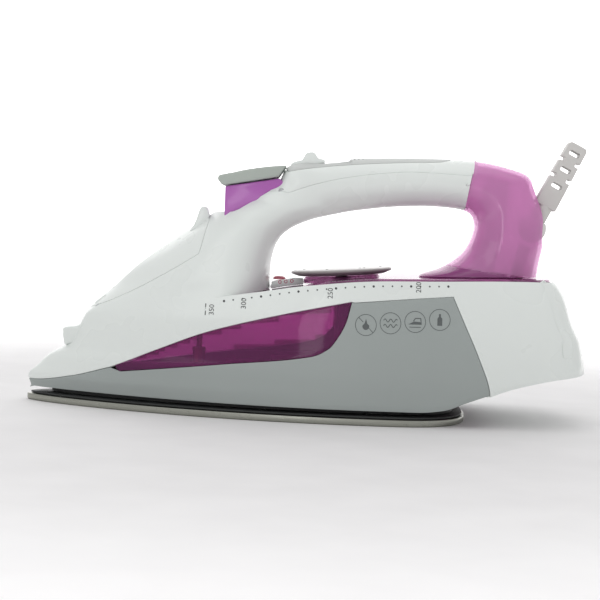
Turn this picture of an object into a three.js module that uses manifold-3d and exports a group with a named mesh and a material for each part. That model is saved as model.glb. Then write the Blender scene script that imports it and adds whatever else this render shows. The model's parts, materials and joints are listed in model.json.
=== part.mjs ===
// Steam iron with a see-through water tank, built up from separate mouldings, castings and fittings.
// Millimetres, +Z up. The nose points along -X, the heel along +X, and the sole rests on Z = 0.
// Inside the iron's group, x is measured from the nose tip; the group centres the body on the origin.
import * as THREE from 'three';
import { mergeVertices } from 'three/addons/utils/BufferGeometryUtils.js';
import Module from 'manifold-3d';

const wasm = await Module();
wasm.setup();

// ---------------------------------------------------------------- driving dimensions
const BODY_LENGTH = 290;          // nose tip to the back of the heel
const BODY_WIDTH = 116;           // widest part of the skirt
const HANDLE_HEIGHT = 134.6;      // top of the grip above the ironing board
const WALL = 2.2;                 // moulded shells
const TANK_WALL = 2;              // see-through tank
const GAP = 0.3;                  // between pieces that touch
const FIT = 0.4;                  // running clearance around what turns or slides

const SOLE_LENGTH = 229.5;
const SOLE_WIDTH = 120;
const SOLE_THICKNESS = 3.4;
const STEAM_HOLE = 3.2;           // diameter
const BASE_PLATE_THICKNESS = 1;
const CASTING_HEIGHT = 8;
const SHROUD_HEIGHT = 14.5;
const SHROUD_WALL = 2;
const ELEMENT_DIAMETER = 6.4;
const TANK_FLOOR = 27;            // height of the underside of the tank

const DIAL_DIAMETER = 53;
const DIAL_THICKNESS = 3;
const DIAL_PITCH = 4.4;           // degrees, rising towards the heel
const SHAFT_DIAMETER = 6;
const SLEEVE_WALL = 1.6;

const BUTTON_WIDTH = 12.6;        // one of the two levers
const BUTTON_CAP_WIDTH = 14.4;
const BUTTON_SPLIT = 0.8;         // space between the two levers
const PIN_DIAMETER = 3;
const PUMP_DIAMETER = 11;
const PUMP_HEIGHT = 18;
const PLUNGER_DIAMETER = 5;
const PLUNGER_CLEAR = 7.5;        // foot of the plunger above the foot of its pump, at rest
const SPRING_WIRE = 0.9;

const LID_PIN_LENGTH = 13;
const LID_LUG_HALF = 3.5;
const LUG_ROOM = 9;              // diameter kept free for the lid's lug to turn in
const NOZZLE_HALF = 5;
const BOSS_DIAMETER = 40;
const SEAT_DIAMETER = 7;
const ROD_DIAMETER = 3;
const LEAD_DIAMETER = 6.5;
const FILLER_BORE = 16;
const GUARD_LENGTH = 42;
const GUARD_WIDTH = 11;
const BALL_DIAMETER = 15;
const SCREW_DIAMETER = 4;
const SCREW_HEAD = 7.5;
const WIRE_DIAMETER = 2.6;
const HOSE_DIAMETER = 3.6;
const HOSE_CLEAR = 2.95;          // between the steam hose's foot and the front screw

// ---------------------------------------------------------------- styling lines, in design millimetres
// The lines below were drawn on a 290 x 116 x 134.6 body and stretch with the three overall sizes.
const SX = BODY_LENGTH / 290;
const SY = BODY_WIDTH / 116;
const SZ = HANDLE_HEIGHT / 134.6;
const line = (points) => points.map(([x, z]) => [x * SX, z * SZ]);

const RIM = line([[-30, 46.2], [30, 46.2], [101.6, 59.6], [124.1, 63.5], [142.4, 66.7], [181.6, 70.8],
  [206.5, 71.6], [259.6, 73.1], [300, 73.1]]);
const UNDERSIDE = line([[-20, 7.2], [205, 7.2], [218.5, 8.5], [229.7, 12.8], [250.5, 20.4], [276.1, 25.9],
  [310, 29.5]]);
const SKIRT_TOP = line([[-20, 11], [1.8, 11], [25.1, 14.9], [46.3, 21], [50.7, 19.2]]);
const WINDOW_LOW = line([[50.7, 19.2], [104.6, 26.6], [149.3, 32.8], [157.4, 37], [161.3, 42], [165.3, 49.7],
  [168, 60.2]]);
const WINDOW_HIGH = line([[48.7, 22], [70, 31.2], [96.7, 42.1], [131.7, 52], [168, 60.2]]);
const SKIRT_REAR = line([[168, 59.2], [199.2, 62.8], [218.3, 64.5], [223.9, 52], [231.3, 35.7], [237.8, 18.4],
  [238, 0]]);
const LID_SEAM = line([[34.6, 49.6], [44.7, 54.9], [58.4, 61.7], [76.8, 72.4], [89.5, 80.5], [94.2, 101]]);
const HANDLE_SEAM = line([[129.2, 121], [134.5, 113.5], [145.5, 117.7], [162.5, 122.2], [186.1, 125.8],
  [199.3, 126.7], [232, 125.7]]);
const STRIP_EDGE = line([[133.9, 124.6], [142.5, 126.3], [159, 128.6], [175.6, 130.2], [195.4, 131.6],
  [212.1, 132.5], [218.6, 134.1], [219.4, 137]]);
const LEG_EDGE = line([[226.1, 100], [226.1, 108.4], [227.6, 120.7], [228.6, 127.3], [230.2, 134.3],
  [230.6, 142]]);
const SPLIT_HEIGHT = 88 * SZ;     // where the column is joined to the body shell

const between = (table) => (value) => {
  const i = Math.max(1, table.findIndex(([v]) => v >= value));
  const [[a, fa], [b, fb]] = value >= table.at(-1)[0] ? table.slice(-2) : [table[i - 1], table[i]];
  return fa + (fb - fa) * THREE.MathUtils.clamp((value - a) / (b - a), 0, 1);
};
const noseAt = between([[2, 1.8], [7, 1.8], [13, 0], [18.7, 5.6], [24.5, 11], [30, 19.9], [39.8, 25.7],
  [47, 29.3], [51.6, 33.4], [61.8, 44.6], [74.5, 57.3], [84, 70]]);
const heelAt = between([[2, 290], [29, 290], [35, 289.2], [43, 287.7], [53, 283], [62.7, 280], [68.3, 277.6],
  [73.4, 274], [84, 268]]);
const leanAt = between([[2, 1], [20, 1], [30, 0.985], [45, 0.94], [60, 0.875], [73, 0.8], [84, 0.74]]);
const bluntAt = between([[7, 0.815], [20, 0.75], [30, 0.68], [50, 0.6]]);

// ---------------------------------------------------------------- geometry helpers
function solid(geometry) {
  geometry.deleteAttribute('normal');
  geometry.deleteAttribute('uv');
  const merged = mergeVertices(geometry, 1e-4);
  return new wasm.Manifold(new wasm.Mesh({
    numProp: 3,
    vertProperties: new Float32Array(merged.attributes.position.array),
    triVerts: new Uint32Array(merged.index.array),
  }));
}

function geometryOf(body) {
  const mesh = body.getMesh();
  const geometry = new THREE.BufferGeometry();
  geometry.setAttribute('position', new THREE.BufferAttribute(new Float32Array(mesh.vertProperties), 3));
  geometry.setIndex(new THREE.BufferAttribute(new Uint32Array(mesh.triVerts), 1));
  return geometry;
}

const iron = new THREE.Group();
iron.position.x = -BODY_LENGTH / 2;
const finishes = {};

function finish(name, color, roughness, metalness = 0, opacity = 1) {
  finishes[name] = new THREE.MeshStandardMaterial({ color, roughness, metalness, opacity,
    transparent: opacity < 1 });
}

function add(name, shape, finishName, parent = iron) {
  const geometry = shape.isBufferGeometry ? shape : geometryOf(shape);
  const mesh = new THREE.Mesh(geometry, finishes[finishName]);
  mesh.name = name;
  parent.add(mesh);
  return mesh;
}

// A side outline [[x, z], ...] carried across the iron from y0 to y1.
function prism(outline, y0 = -90, y1 = 90) {
  const shape = new THREE.Shape(outline.map(([x, z]) => new THREE.Vector2(x, z)));
  const geometry = new THREE.ExtrudeGeometry(shape, { depth: y1 - y0, bevelEnabled: false });
  geometry.rotateX(Math.PI / 2);
  geometry.translate(0, y1, 0);
  return solid(geometry);
}

// A plan outline [[x, y], ...] carried up from z0 to z1, with round holes [x, y, diameter].
function slab(outline, z0, z1, holes = [], sides = 8) {
  const shape = new THREE.Shape(outline.map(([x, y]) => new THREE.Vector2(x, y)));
  for (const [x, y, diameter] of holes) {
    const ring = Array.from({ length: sides }, (_, i) => {
      const angle = -2 * Math.PI * i / sides;
      return new THREE.Vector2(x + diameter / 2 * Math.cos(angle), y + diameter / 2 * Math.sin(angle));
    });
    shape.holes.push(new THREE.Path(ring));
  }
  const geometry = new THREE.ExtrudeGeometry(shape, { depth: z1 - z0, bevelEnabled: false });
  geometry.translate(0, 0, z0);
  return solid(geometry);
}

const block = (x0, x1, y0, y1, z0, z1) => {
  const geometry = new THREE.BoxGeometry(x1 - x0, y1 - y0, z1 - z0);
  geometry.translate((x0 + x1) / 2, (y0 + y1) / 2, (z0 + z1) / 2);
  return solid(geometry);
};

// An upright turned piece: profile [[radius, z], ...] from the axis back to it, or a closed ring profile.
function turned(profile, x = 0, y = 0, segments = 16) {
  const geometry = new THREE.LatheGeometry(profile.map(([r, z]) => new THREE.Vector2(r, z)), segments);
  geometry.rotateX(Math.PI / 2);
  geometry.translate(x, y, 0);
  return solid(geometry);
}
const rod = (diameter, z0, z1, x = 0, y = 0, segments = 12) =>
  turned([[0, z0], [diameter / 2, z0], [diameter / 2, z1], [0, z1]], x, y, segments);
const tube = (outer, bore, z0, z1, x = 0, y = 0, segments = 12) =>
  turned([[bore / 2, z0], [outer / 2, z0], [outer / 2, z1], [bore / 2, z1], [bore / 2, z0]], x, y, segments);
const crossRod = (diameter, x, z, y0, y1, segments = 10) =>
  rod(diameter, y0, y1, 0, 0, segments).rotate([90, 0, 0]).translate([x, y0 + y1, z]);

// A pipe or wire of n sides along a smooth curve through the points.
function pipe(points, diameter, steps, sides = 6) {
  const through = points.map((p) => new THREE.Vector3(...p));
  const path = new THREE.CatmullRomCurve3(through, false, 'catmullrom', 0.5);
  const ring = Array.from({ length: sides }, (_, i) => {
    const angle = 2 * Math.PI * i / sides;
    return new THREE.Vector2(diameter / 2 * Math.cos(angle), diameter / 2 * Math.sin(angle));
  });
  return solid(new THREE.ExtrudeGeometry(new THREE.Shape(ring), { steps, extrudePath: path }));
}

// A closed skin over rings of equal length, with a fan on each end.
function loft(rings) {
  const count = rings[0].length;
  const points = rings.flat();
  const faces = [];
  for (let r = 0; r + 1 < rings.length; r += 1) {
    for (let i = 0; i < count; i += 1) {
      const a = r * count + i;
      const b = r * count + (i + 1) % count;
      faces.push(a, b, b + count, a, b + count, a + count);
    }
  }
  [[0, 1], [rings.length - 1, -1]].forEach(([r, side]) => {
    const middle = points.length;
    const sum = rings[r].reduce((total, p) => total.map((v, k) => v + p[k] / count), [0, 0, 0]);
    points.push(sum);
    for (let i = 0; i < count; i += 1) {
      const a = r * count + i;
      const b = r * count + (i + 1) % count;
      faces.push(...(side > 0 ? [middle, b, a] : [middle, a, b]));
    }
  });
  const geometry = new THREE.BufferGeometry();
  geometry.setAttribute('position', new THREE.Float32BufferAttribute(points.flat(), 3));
  geometry.setIndex(faces);
  return solid(geometry);
}

// An outline with every side moved outwards by d (inwards where d is negative).
function grown(outline, d) {
  const turn = THREE.ShapeUtils.isClockWise(outline.map(([x, z]) => new THREE.Vector2(x, z))) ? -1 : 1;
  return outline.map((p, i) => {
    const a = outline.at(i - 1);
    const b = outline[(i + 1) % outline.length];
    const u = new THREE.Vector2(p[0] - a[0], p[1] - a[1]).normalize();
    const v = new THREE.Vector2(b[0] - p[0], b[1] - p[1]).normalize();
    const n = new THREE.Vector2(u.y + v.y, -u.x - v.x).normalize();
    const reach = Math.min(3, 1 / Math.max(0.2, n.x * u.y - n.y * u.x));
    return [p[0] + turn * d * reach * n.x, p[1] + turn * d * reach * n.y];
  });
}

const lifted = (outline, dz) => outline.map(([x, z]) => [x, z + dz]);
const above = (outline, dz = 0) => [...lifted(outline, dz), [outline.at(-1)[0], 190], [outline[0][0], 190]];
const below = (outline, dz = 0) => [...lifted(outline, dz), [outline.at(-1)[0], -20], [outline[0][0], -20]];
function heightOn(outline, x) {
  return between(outline)(x);
}

// ---------------------------------------------------------------- the two big outer forms
const LENGTH_STEPS = [0, 0.015, 0.05, 0.11, 0.2, 0.32, 0.46, 0.6, 0.76, 0.9, 0.96, 0.99, 1];
const HULL_LEVELS = [2, 7, 13, 20, 30, 40, 52, 62, 71, 80];

function hullShare(u, blunt) {
  const front = u < 0.6 ? Math.sin(Math.PI / 2 * u / 0.6) ** blunt : 1 - 0.17 * ((u - 0.6) / 0.4) ** 1.6;
  const corner = u > 0.93 ? Math.cbrt(1 - ((u - 0.93) / 0.07) ** 3) : 1;
  return front * corner;
}

// The boat-shaped body, every face moved in by inset.
function hull(inset) {
  const rings = HULL_LEVELS.map((level) => {
    const nose = noseAt(level) * SX + 2 * inset;
    const heel = heelAt(level) * SX - inset;
    const width = BODY_WIDTH / 2 * leanAt(level);
    const side = LENGTH_STEPS.map((u) => [nose + u * (heel - nose),
      hullShare(u, bluntAt(level)) * (width - inset), level * SZ]);
    return [...side.map(([x, y, z]) => [x, -y, z]), ...side.slice(1, -1).reverse()];
  });
  return loft(rings);
}

// Stations of the column, the grip and the rear leg: top (or front) point, under (or rear) point, half width,
// place of the widest point along the chord, and how wedge-like the front is.
const STATIONS = [
  [[27.5, 43.5], [126, 52], 38.5, 0.75, 1], [[33.4, 51.6], [126, 60], 37.5, 0.75, 1],
  [[44.6, 61.8], [126, 68], 35, 0.73, 1], [[57.3, 74], [126.2, 76], 30.5, 0.7, 0.9],
  [[70.1, 83.9], [128, 85], 26, 0.64, 0.8], [[82.9, 93.4], [132, 92], 22.5, 0.58, 0.6],
  [[93, 100.5], [139, 97], 20, 0.54, 0.4], [[101, 106.3], [149, 101], 18.5, 0.5, 0.2],
  [[116, 112.5], [154, 102.3], 17.5, 0.5, 0], [[128, 118], [157, 103.1], 16.6, 0.5, 0],
  [[133.5, 127.5], [160, 103.8], 16, 0.5, 0], [[149, 131], [165, 105], 15.5, 0.5, 0],
  [[168, 132.8], [172, 106.2], 15.3, 0.5, 0], [[190, 134.1], [190, 108.6], 15.3, 0.5, 0],
  [[210, 134.5], [208, 109.6], 15.3, 0.5, 0], [[224, 134.6], [221, 109], 15.5, 0.5, 0],
  [[237, 133.4], [228.5, 107.3], 16, 0.5, 0], [[249, 131], [231.5, 104], 16.5, 0.5, 0],
  [[259, 127.5], [232.3, 100], 17, 0.5, 0], [[265, 117], [231.5, 95.5], 17.5, 0.5, 0],
  [[269, 104], [228.5, 88.5], 18, 0.5, 0], [[268.8, 93], [223, 82.5], 19.5, 0.48, 0],
  [[267, 82], [215, 77.5], 22, 0.45, 0], [[265.7, 72], [205, 73.6], 25, 0.42, 0],
  [[265, 66], [202, 69], 26, 0.42, 0],
];
const LEVER_SPREAD = BUTTON_WIDTH - 12.6;   // the grip was drawn around levers of 12.6
const RING_ANGLES = [0, 26, 56, 90, 124, 154, 180].map((angle) => angle * Math.PI / 180);

// The column, grip and leg between two stations, every face moved in by inset.
function bow(inset, first = 0, last = STATIONS.length - 1) {
  const rings = STATIONS.slice(first, last + 1).map(([top, under, half, widest, wedge]) => {
    const a = new THREE.Vector2(top[0] * SX, top[1] * SZ);
    const b = new THREE.Vector2(under[0] * SX, under[1] * SZ);
    const along = b.clone().sub(a).normalize();
    a.addScaledVector(along, inset * (1 + 0.6 * wedge));
    b.addScaledVector(along, -inset);
    const width = half * SY + (1 - wedge) * LEVER_SPREAD - inset;
    const side = RING_ANGLES.map((angle) => {
      const eased = 1 - Math.cos(angle);
      const even = angle / (Math.PI / 2);
      const t = angle <= Math.PI / 2 ? widest * (wedge * even + (1 - wedge) * eased)
        : widest + (1 - widest) * -Math.cos(angle);
      const power = angle <= Math.PI / 2 ? 1 - 0.1 * wedge : 1;
      const p = a.clone().lerp(b, Math.min(t, 1));
      return [p.x, width * Math.max(0, Math.sin(angle)) ** power, p.y];
    });
    side[0][1] = 0;
    side.at(-1)[1] = 0;
    return [...side.map(([x, y, z]) => [x, -y, z]), ...side.slice(1, -1).reverse()];
  });
  return loft(rings);
}

// Plan of the sole and of what sits on it: pointed nose, widest three quarters back, round heel.
const PLAN_STEPS = [0, 0.006, 0.03, 0.08, 0.16, 0.26, 0.38, 0.52, 0.64, 0.76, 0.86, 0.93, 0.97, 0.992, 1];
function solePlan(x0, x1, width) {
  const side = PLAN_STEPS.map((u) => {
    const share = u <= 0.76 ? Math.sin(Math.PI / 2 * u / 0.76) ** 0.707
      : (1 - Math.min(1, (u - 0.76) / 0.24) ** 3.2) ** (1 / 3.2);
    return [x0 + u * (x1 - x0), share * width / 2];
  });
  side[0][1] = 0;
  side.at(-1)[1] = 0;
  return [...side.map(([x, y]) => [x, -y]), ...side.slice(1, -1).reverse()];
}

// ---------------------------------------------------------------- finishes
finish('steel', 0x93948b, 0.3, 1);
finish('aluminium', 0xa9abad, 0.45, 1);
finish('black', 0x272a29, 0.6);
finish('grey', 0x9a9f9d, 0.45);
finish('white', 0xdbe0dc, 0.35);
finish('purple', 0xb8769c, 0.1, 0, 0.6);
finish('lilac', 0xdfa9d0, 0.12, 0, 0.65);
finish('button', 0xab69ad, 0.3);
finish('light_grey', 0xb0b8b0, 0.55);
finish('strip', 0xceD0cd, 0.6);
finish('rubber', 0x3c3c40, 0.8);
finish('brass', 0xb59a55, 0.35, 1);
finish('lens', 0xd0798a, 0.15, 0, 0.8);

// ---------------------------------------------------------------- sole, casting and shroud
const BASE_TOP = SOLE_THICKNESS + GAP + BASE_PLATE_THICKNESS;
const CASTING_BOTTOM = BASE_TOP + GAP;
const CASTING_TOP = CASTING_BOTTOM + CASTING_HEIGHT;
const SHROUD_TOP = CASTING_BOTTOM + SHROUD_HEIGHT;
const PAD_INSET = 0.5;             // the tank's sides lie this much behind the body's face
const TANK_REAR = 242 * SX;
const windowOutline = [...WINDOW_LOW, ...WINDOW_HIGH.slice(0, -1).reverse()];
const SHROUD_PLAN = [13, SOLE_LENGTH - 5.5, SOLE_WIDTH - 20];
const CASTING_PLAN = [22, SOLE_LENGTH - 13, SOLE_WIDTH - 32];
const DIAL_X = 163.4 * SX;
const DIAL_Z = 75 * SZ;
const TILT = THREE.MathUtils.degToRad(DIAL_PITCH);
const THERMOSTAT_X = DIAL_X + (DIAL_Z - SHROUD_TOP) * Math.tan(TILT);
const THERMOSTAT_DIAMETER = 16;
const VALVE_X = 90 * SX;
const PUMP_X = 112 * SX;
const PUMP_Y = 6.9;
const LEAD_X = 256 * SX;
const PIVOT = [130.5 * SX, 114.5 * SZ];
const ELEMENT_SIDE = SOLE_WIDTH / 2 - 30;   // the heating element runs back this far from the middle
const FRONT_SCREW = 48;
const STEAM_OUTLET_X = 118;
const SCREW_PLACES = [[FRONT_SCREW, 0], [SOLE_LENGTH - 45, 10 - ELEMENT_SIDE],
  [SOLE_LENGTH - 45, ELEMENT_SIDE - 10]];

function makeSole() {
  const holes = [];
  for (const x of [28, 40, 52, 66, 82, 100, 122, 144]) {
    const reach = Math.min(0.62 * SOLE_WIDTH / 2 * Math.sin(Math.PI / 2 * x / (0.76 * SOLE_LENGTH)) ** 0.707,
      0.5 * SOLE_WIDTH);
    holes.push([x, -reach, STEAM_HOLE], [x, reach, STEAM_HOLE]);
  }
  holes.push([14, 0, STEAM_HOLE], [60, 0, STEAM_HOLE], [92, 0, STEAM_HOLE]);
  add('soleplate', slab(solePlan(0, SOLE_LENGTH, SOLE_WIDTH), 0, SOLE_THICKNESS, holes, 6), 'steel');
  add('base_plate', slab(solePlan(2, SOLE_LENGTH - 1.2, SOLE_WIDTH - 2.4), SOLE_THICKNESS + GAP, BASE_TOP,
    [[60, 0, STEAM_HOLE], [92, 0, STEAM_HOLE]], 6), 'black');
}

const ELEMENT_Z = CASTING_TOP - 2;
const elementPath = [[SOLE_LENGTH - 32, -ELEMENT_SIDE], [150, -ELEMENT_SIDE - 1], [100, 8 - ELEMENT_SIDE],
  [76, -11], [69, 0], [76, 11], [100, ELEMENT_SIDE - 8], [150, ELEMENT_SIDE + 1],
  [SOLE_LENGTH - 32, ELEMENT_SIDE]].map(([x, y]) => [x, y, ELEMENT_Z]);

function makeHeater() {
  const chamber = [100, 152, ELEMENT_SIDE - 17];
  let casting = slab(solePlan(...CASTING_PLAN), CASTING_BOTTOM, CASTING_TOP,
    [...SCREW_PLACES.map(([x, y]) => [x, y, SCREW_DIAMETER + 2 * GAP]), [60, 0, STEAM_HOLE]], 8);
  casting = casting.subtract(pipe(elementPath, ELEMENT_DIAMETER + 2 * FIT, 18));
  for (const y of [-ELEMENT_SIDE, ELEMENT_SIDE]) {
    casting = casting.subtract(block(elementPath[0][0] - 1, SOLE_LENGTH, y - 6, y + 6, ELEMENT_Z - 3.6, 40));
  }
  casting = casting.subtract(block(chamber[0], chamber[1], -chamber[2], chamber[2], CASTING_BOTTOM + 3, 40));
  add('heater_casting', casting, 'aluminium');
  add('heating_element', pipe(elementPath, ELEMENT_DIAMETER, 18), 'steel');
  const [x0, x1, half] = [chamber[0] - 4, chamber[1] + 4, chamber[2] + 3];
  const cover = slab([[x0, -half], [x1, -half], [x1, half], [x0, half]], CASTING_TOP + GAP, CASTING_TOP + 1.3,
    [[STEAM_OUTLET_X, 0, 5.4]]);
  add('steam_chamber_cover', cover, 'steel');
  const r = THERMOSTAT_DIAMETER / 2;
  add('thermostat', turned([[0, CASTING_TOP + 1.6], [r, CASTING_TOP + 1.6], [r, SHROUD_TOP - 1],
    [r - 2, SHROUD_TOP + 2.5], [0, SHROUD_TOP + 2.5]], THERMOSTAT_X, 0, 14).subtract(
    rod(SHAFT_DIAMETER + 2 * FIT, SHROUD_TOP + 1, 40, THERMOSTAT_X, 0)), 'strip');
  add('thermal_fuse', block(77, 94, -4, 4, CASTING_TOP + GAP, CASTING_TOP + 4), 'brass');
}

// The see-through sides of the tank, from their outer face down to an inset of the hull.
function tankPad(inset, growth) {
  return hull(PAD_INSET).intersect(prism(grown(windowOutline, growth)))
    .intersect(block(0, TANK_REAR, -90, 90, 0, 190)).subtract(hull(inset));
}

function makeShroud() {
  const [x0, x1, width] = SHROUD_PLAN;
  let shroud = slab(solePlan(x0, x1, width), CASTING_BOTTOM, SHROUD_TOP);
  shroud = shroud.intersect(hull(WALL + GAP)).subtract(tankPad(WALL + TANK_WALL + 2 * GAP, GAP));
  shroud = shroud.subtract(slab(solePlan(x0 + 2 * SHROUD_WALL, x1 - SHROUD_WALL, width - 2 * SHROUD_WALL),
    0, SHROUD_TOP - SHROUD_WALL));
  for (const [x, y, diameter] of [[THERMOSTAT_X, 0, THERMOSTAT_DIAMETER + 1.4], [STEAM_OUTLET_X, 0, 7],
    [SOLE_LENGTH - 30, -ELEMENT_SIDE, 9], [SOLE_LENGTH - 30, ELEMENT_SIDE, 9]]) {
    shroud = shroud.subtract(rod(diameter, 0, 60, x, y));
  }
  SCREW_PLACES.forEach(([x, y], i) => {
    shroud = shroud.add(rod(SCREW_HEAD + 1, CASTING_TOP + 2, SHROUD_TOP - 0.5, x, y, 8));
    shroud = shroud.subtract(rod(SCREW_DIAMETER + 2 * GAP, 0, 60, x, y, 8));
    add(`shroud_screw_${i + 1}`, turned([[0, CASTING_BOTTOM + 1], [SCREW_DIAMETER / 2, CASTING_BOTTOM + 1],
      [SCREW_DIAMETER / 2, SHROUD_TOP + GAP], [SCREW_HEAD / 2, SHROUD_TOP + GAP],
      [SCREW_HEAD / 2, SHROUD_TOP + 2], [0, SHROUD_TOP + 2]], x, y, 8), 'steel');
  });
  add('heat_shroud', shroud, 'black');
}

// ---------------------------------------------------------------- body skins
const skirtOutline = [...SKIRT_TOP, ...WINDOW_LOW.slice(1, -1), ...SKIRT_REAR, [-20 * SX, 0]];
const lidOutline = [...LID_SEAM, [94.2 * SX, 140], [20, 140], [20, LID_SEAM[0][1] + 10]];
const handleOutline = [[91.2 * SX, SPLIT_HEIGHT], [320, SPLIT_HEIGHT], [320, 190], [94.6 * SX, 190]];
const topOutline = [...HANDLE_SEAM, [LEG_EDGE.at(-1)[0], 190], [126 * SX, 190]];
const stripOutline = [...STRIP_EDGE, [STRIP_EDGE.at(-1)[0], 190], [STRIP_EDGE[0][0], 190]];
const legOutline = [...LEG_EDGE, [320, LEG_EDGE.at(-1)[1]], [320, 60], [195 * SX, 60],
  [195 * SX, LEG_EDGE[0][1]]];
const BUTTON_VIEW = line([[98.6, 104.2], [101.5, 101.6], [105, 101.6], [125.7, 114.8], [127.4, 116.6],
  [128.9, 120.8], [134, 128.6], [134.4, 190], [98.6, 190]]);
const BUTTON_SLOT = line([[99.6, 92], [99.6, 190], [134.4, 190], [134, 128.6], [130.2, 121.4], [134.2, 120.2],
  [134.2, 108.5], [124, 94], [120, 92]]);
const SLOT_HALF = BUTTON_WIDTH + BUTTON_SPLIT / 2 + 0.9;
const HINGE = [37 * SX, 50.6 * SZ];
const NOZZLE = line([[19.4, 29.6], [18.2, 38.6], [25.4, 39.9], [34, 44], [34, 34]]);
const HEEL_WINDOW = [27, 33 * SZ, 66 * SZ];   // half width, bottom and top of the opening in the heel

const FLOOR_START = 226 * SX;     // the heel has a floor behind this, clear of the shroud
const outerHull = hull(0).subtract(prism(below(UNDERSIDE)));
const belowRim = prism(below(RIM));
const columnOuter = bow(0);
const columnInner = bow(WALL);
const floorLine = [FLOOR_START, ...UNDERSIDE.map(([x]) => x).filter((x) => x > FLOOR_START)]
  .map((x) => [x, heightOn(UNDERSIDE, x) + WALL]);
const aboveFloor = prism([[-30, -30], [FLOOR_START, -30], ...floorLine, [320, 200], [-30, 200]]);
const hullInner = hull(WALL).intersect(aboveFloor);

const COLUMN_SINK = 0.6;          // the column's foot reaches this far below the rim line
const CLEAN_CUT = 0.1;            // a cut runs this much past the face it opens
const columnSkin = columnOuter.subtract(columnInner);

function makeSkins() {
  const aboveFoot = prism(above(RIM, -COLUMN_SINK));
  const cavity = hullInner.intersect(prism(below(RIM, CLEAN_CUT))).add(columnInner.intersect(aboveFoot));
  const column = bow(0, 0, 8).intersect(aboveFoot);
  const skin = outerHull.intersect(belowRim).add(column).subtract(cavity);
  const hullSkin = outerHull.intersect(belowRim).subtract(hullInner);
  add('skirt', hullSkin.intersect(prism(skirtOutline)), 'grey');

  let shell = skin.subtract(prism(grown(skirtOutline, GAP))).subtract(prism(grown(windowOutline, GAP)));
  shell = shell.subtract(prism(grown(lidOutline, GAP))).subtract(prism(grown(handleOutline, GAP)));
  shell = shell.subtract(prism(grown(NOZZLE, GAP), -NOZZLE_HALF - GAP, NOZZLE_HALF + GAP));
  const [half, low, high] = HEEL_WINDOW;
  shell = shell.subtract(block(270 * SX, 300 * SX, -half, half, low, high));
  shell = shell.subtract(crossRod(PIN_DIAMETER + GAP, ...HINGE, -LID_PIN_LENGTH, LID_PIN_LENGTH, 8));
  shell = shell.subtract(crossRod(LUG_ROOM, ...HINGE, -LID_LUG_HALF - GAP, LID_LUG_HALF + GAP, 12));
  add('body_shell', shell, 'white');

  let cover = outerHull.subtract(hullInner).intersect(block(270 * SX, 300 * SX, -half + GAP, half - GAP,
    low + GAP, high - GAP));
  [-1, 1].forEach((side, i) => {
    const seat = [heelAt(50) * SX, side * 18, 50 * SZ];
    const hole = rod(SCREW_DIAMETER + 2 * GAP, -20, 20, 0, 0, 8);
    cover = cover.subtract(hole.rotate([0, 90, 0]).translate(seat));
    const screw = turned([[0, -9], [SCREW_DIAMETER / 2, -9], [SCREW_DIAMETER / 2, 0.9],
      [SCREW_HEAD / 2, 0.9], [SCREW_HEAD / 2, 2], [0, 2]], 0, 0, 8);
    add(`heel_screw_${i + 1}`, screw.rotate([0, 90, 0]).translate(seat), 'steel');
  });
  add('heel_cover', cover, 'white');
}

function makeLid() {
  let lid = columnSkin.intersect(prism(lidOutline));
  const tab = line([[84, 92], [86.6, 97], [89.3, 104.8], [92.2, 104.3], [93.4, 99.9], [92, 94]]);
  const lug = line([[34.9, 49], [34.6, 52.6], [40, 57], [40.4, 54], [39.2, 49.4]]);
  lid = lid.add(prism(tab, -6, 6)).add(prism(lug, -LID_LUG_HALF, LID_LUG_HALF));
  lid = lid.subtract(crossRod(PIN_DIAMETER + 2 * FIT, ...HINGE, -20, 20, 8));
  add('filler_lid', lid, 'white');
  add('lid_pin', crossRod(PIN_DIAMETER, ...HINGE, -LID_PIN_LENGTH / 2, LID_PIN_LENGTH / 2, 8), 'steel');
  add('spray_nozzle', prism(NOZZLE, -NOZZLE_HALF, NOZZLE_HALF), 'white');
}

// ---------------------------------------------------------------- tank
const COVER_RAISE = 1;            // the cover stands this much above the rim behind the column
const COVER_DROP = COLUMN_SINK + GAP;
const COVER_THICKNESS = 2;
const SEAL_THICKNESS = 1;
const SEAL_LIP = 2.5;             // the filler's seal reaches this far past its neck
const TANK_FRONT = 48 * SX;
const COVER_FRONT = 50 * SX;
const COVER_REAR = 276 * SX;
const RAMP = [129 * SX, 142.4 * SX];
const FILLER_X = 73 * SX;
const SLEEVE_DIAMETER = SHAFT_DIAMETER + 2 * FIT + 2 * SLEEVE_WALL;
const rimAt = (x) => heightOn(RIM, x);
const coverTopAt = (x) => rimAt(x) - COVER_DROP
  + (COVER_DROP + COVER_RAISE) * THREE.MathUtils.clamp((x - RAMP[0]) / (RAMP[1] - RAMP[0]), 0, 1);

// The dial's group stands on the pitched axis of the temperature control.
const dialGroup = new THREE.Group();
dialGroup.position.set(DIAL_X, 0, DIAL_Z);
dialGroup.rotation.y = -TILT;
iron.add(dialGroup);
const tiltedRod = (diameter, low, high) => rod(diameter, low, high, 0, 0, 20)
  .rotate([0, -DIAL_PITCH, 0]).translate([DIAL_X, 0, DIAL_Z]);

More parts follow.
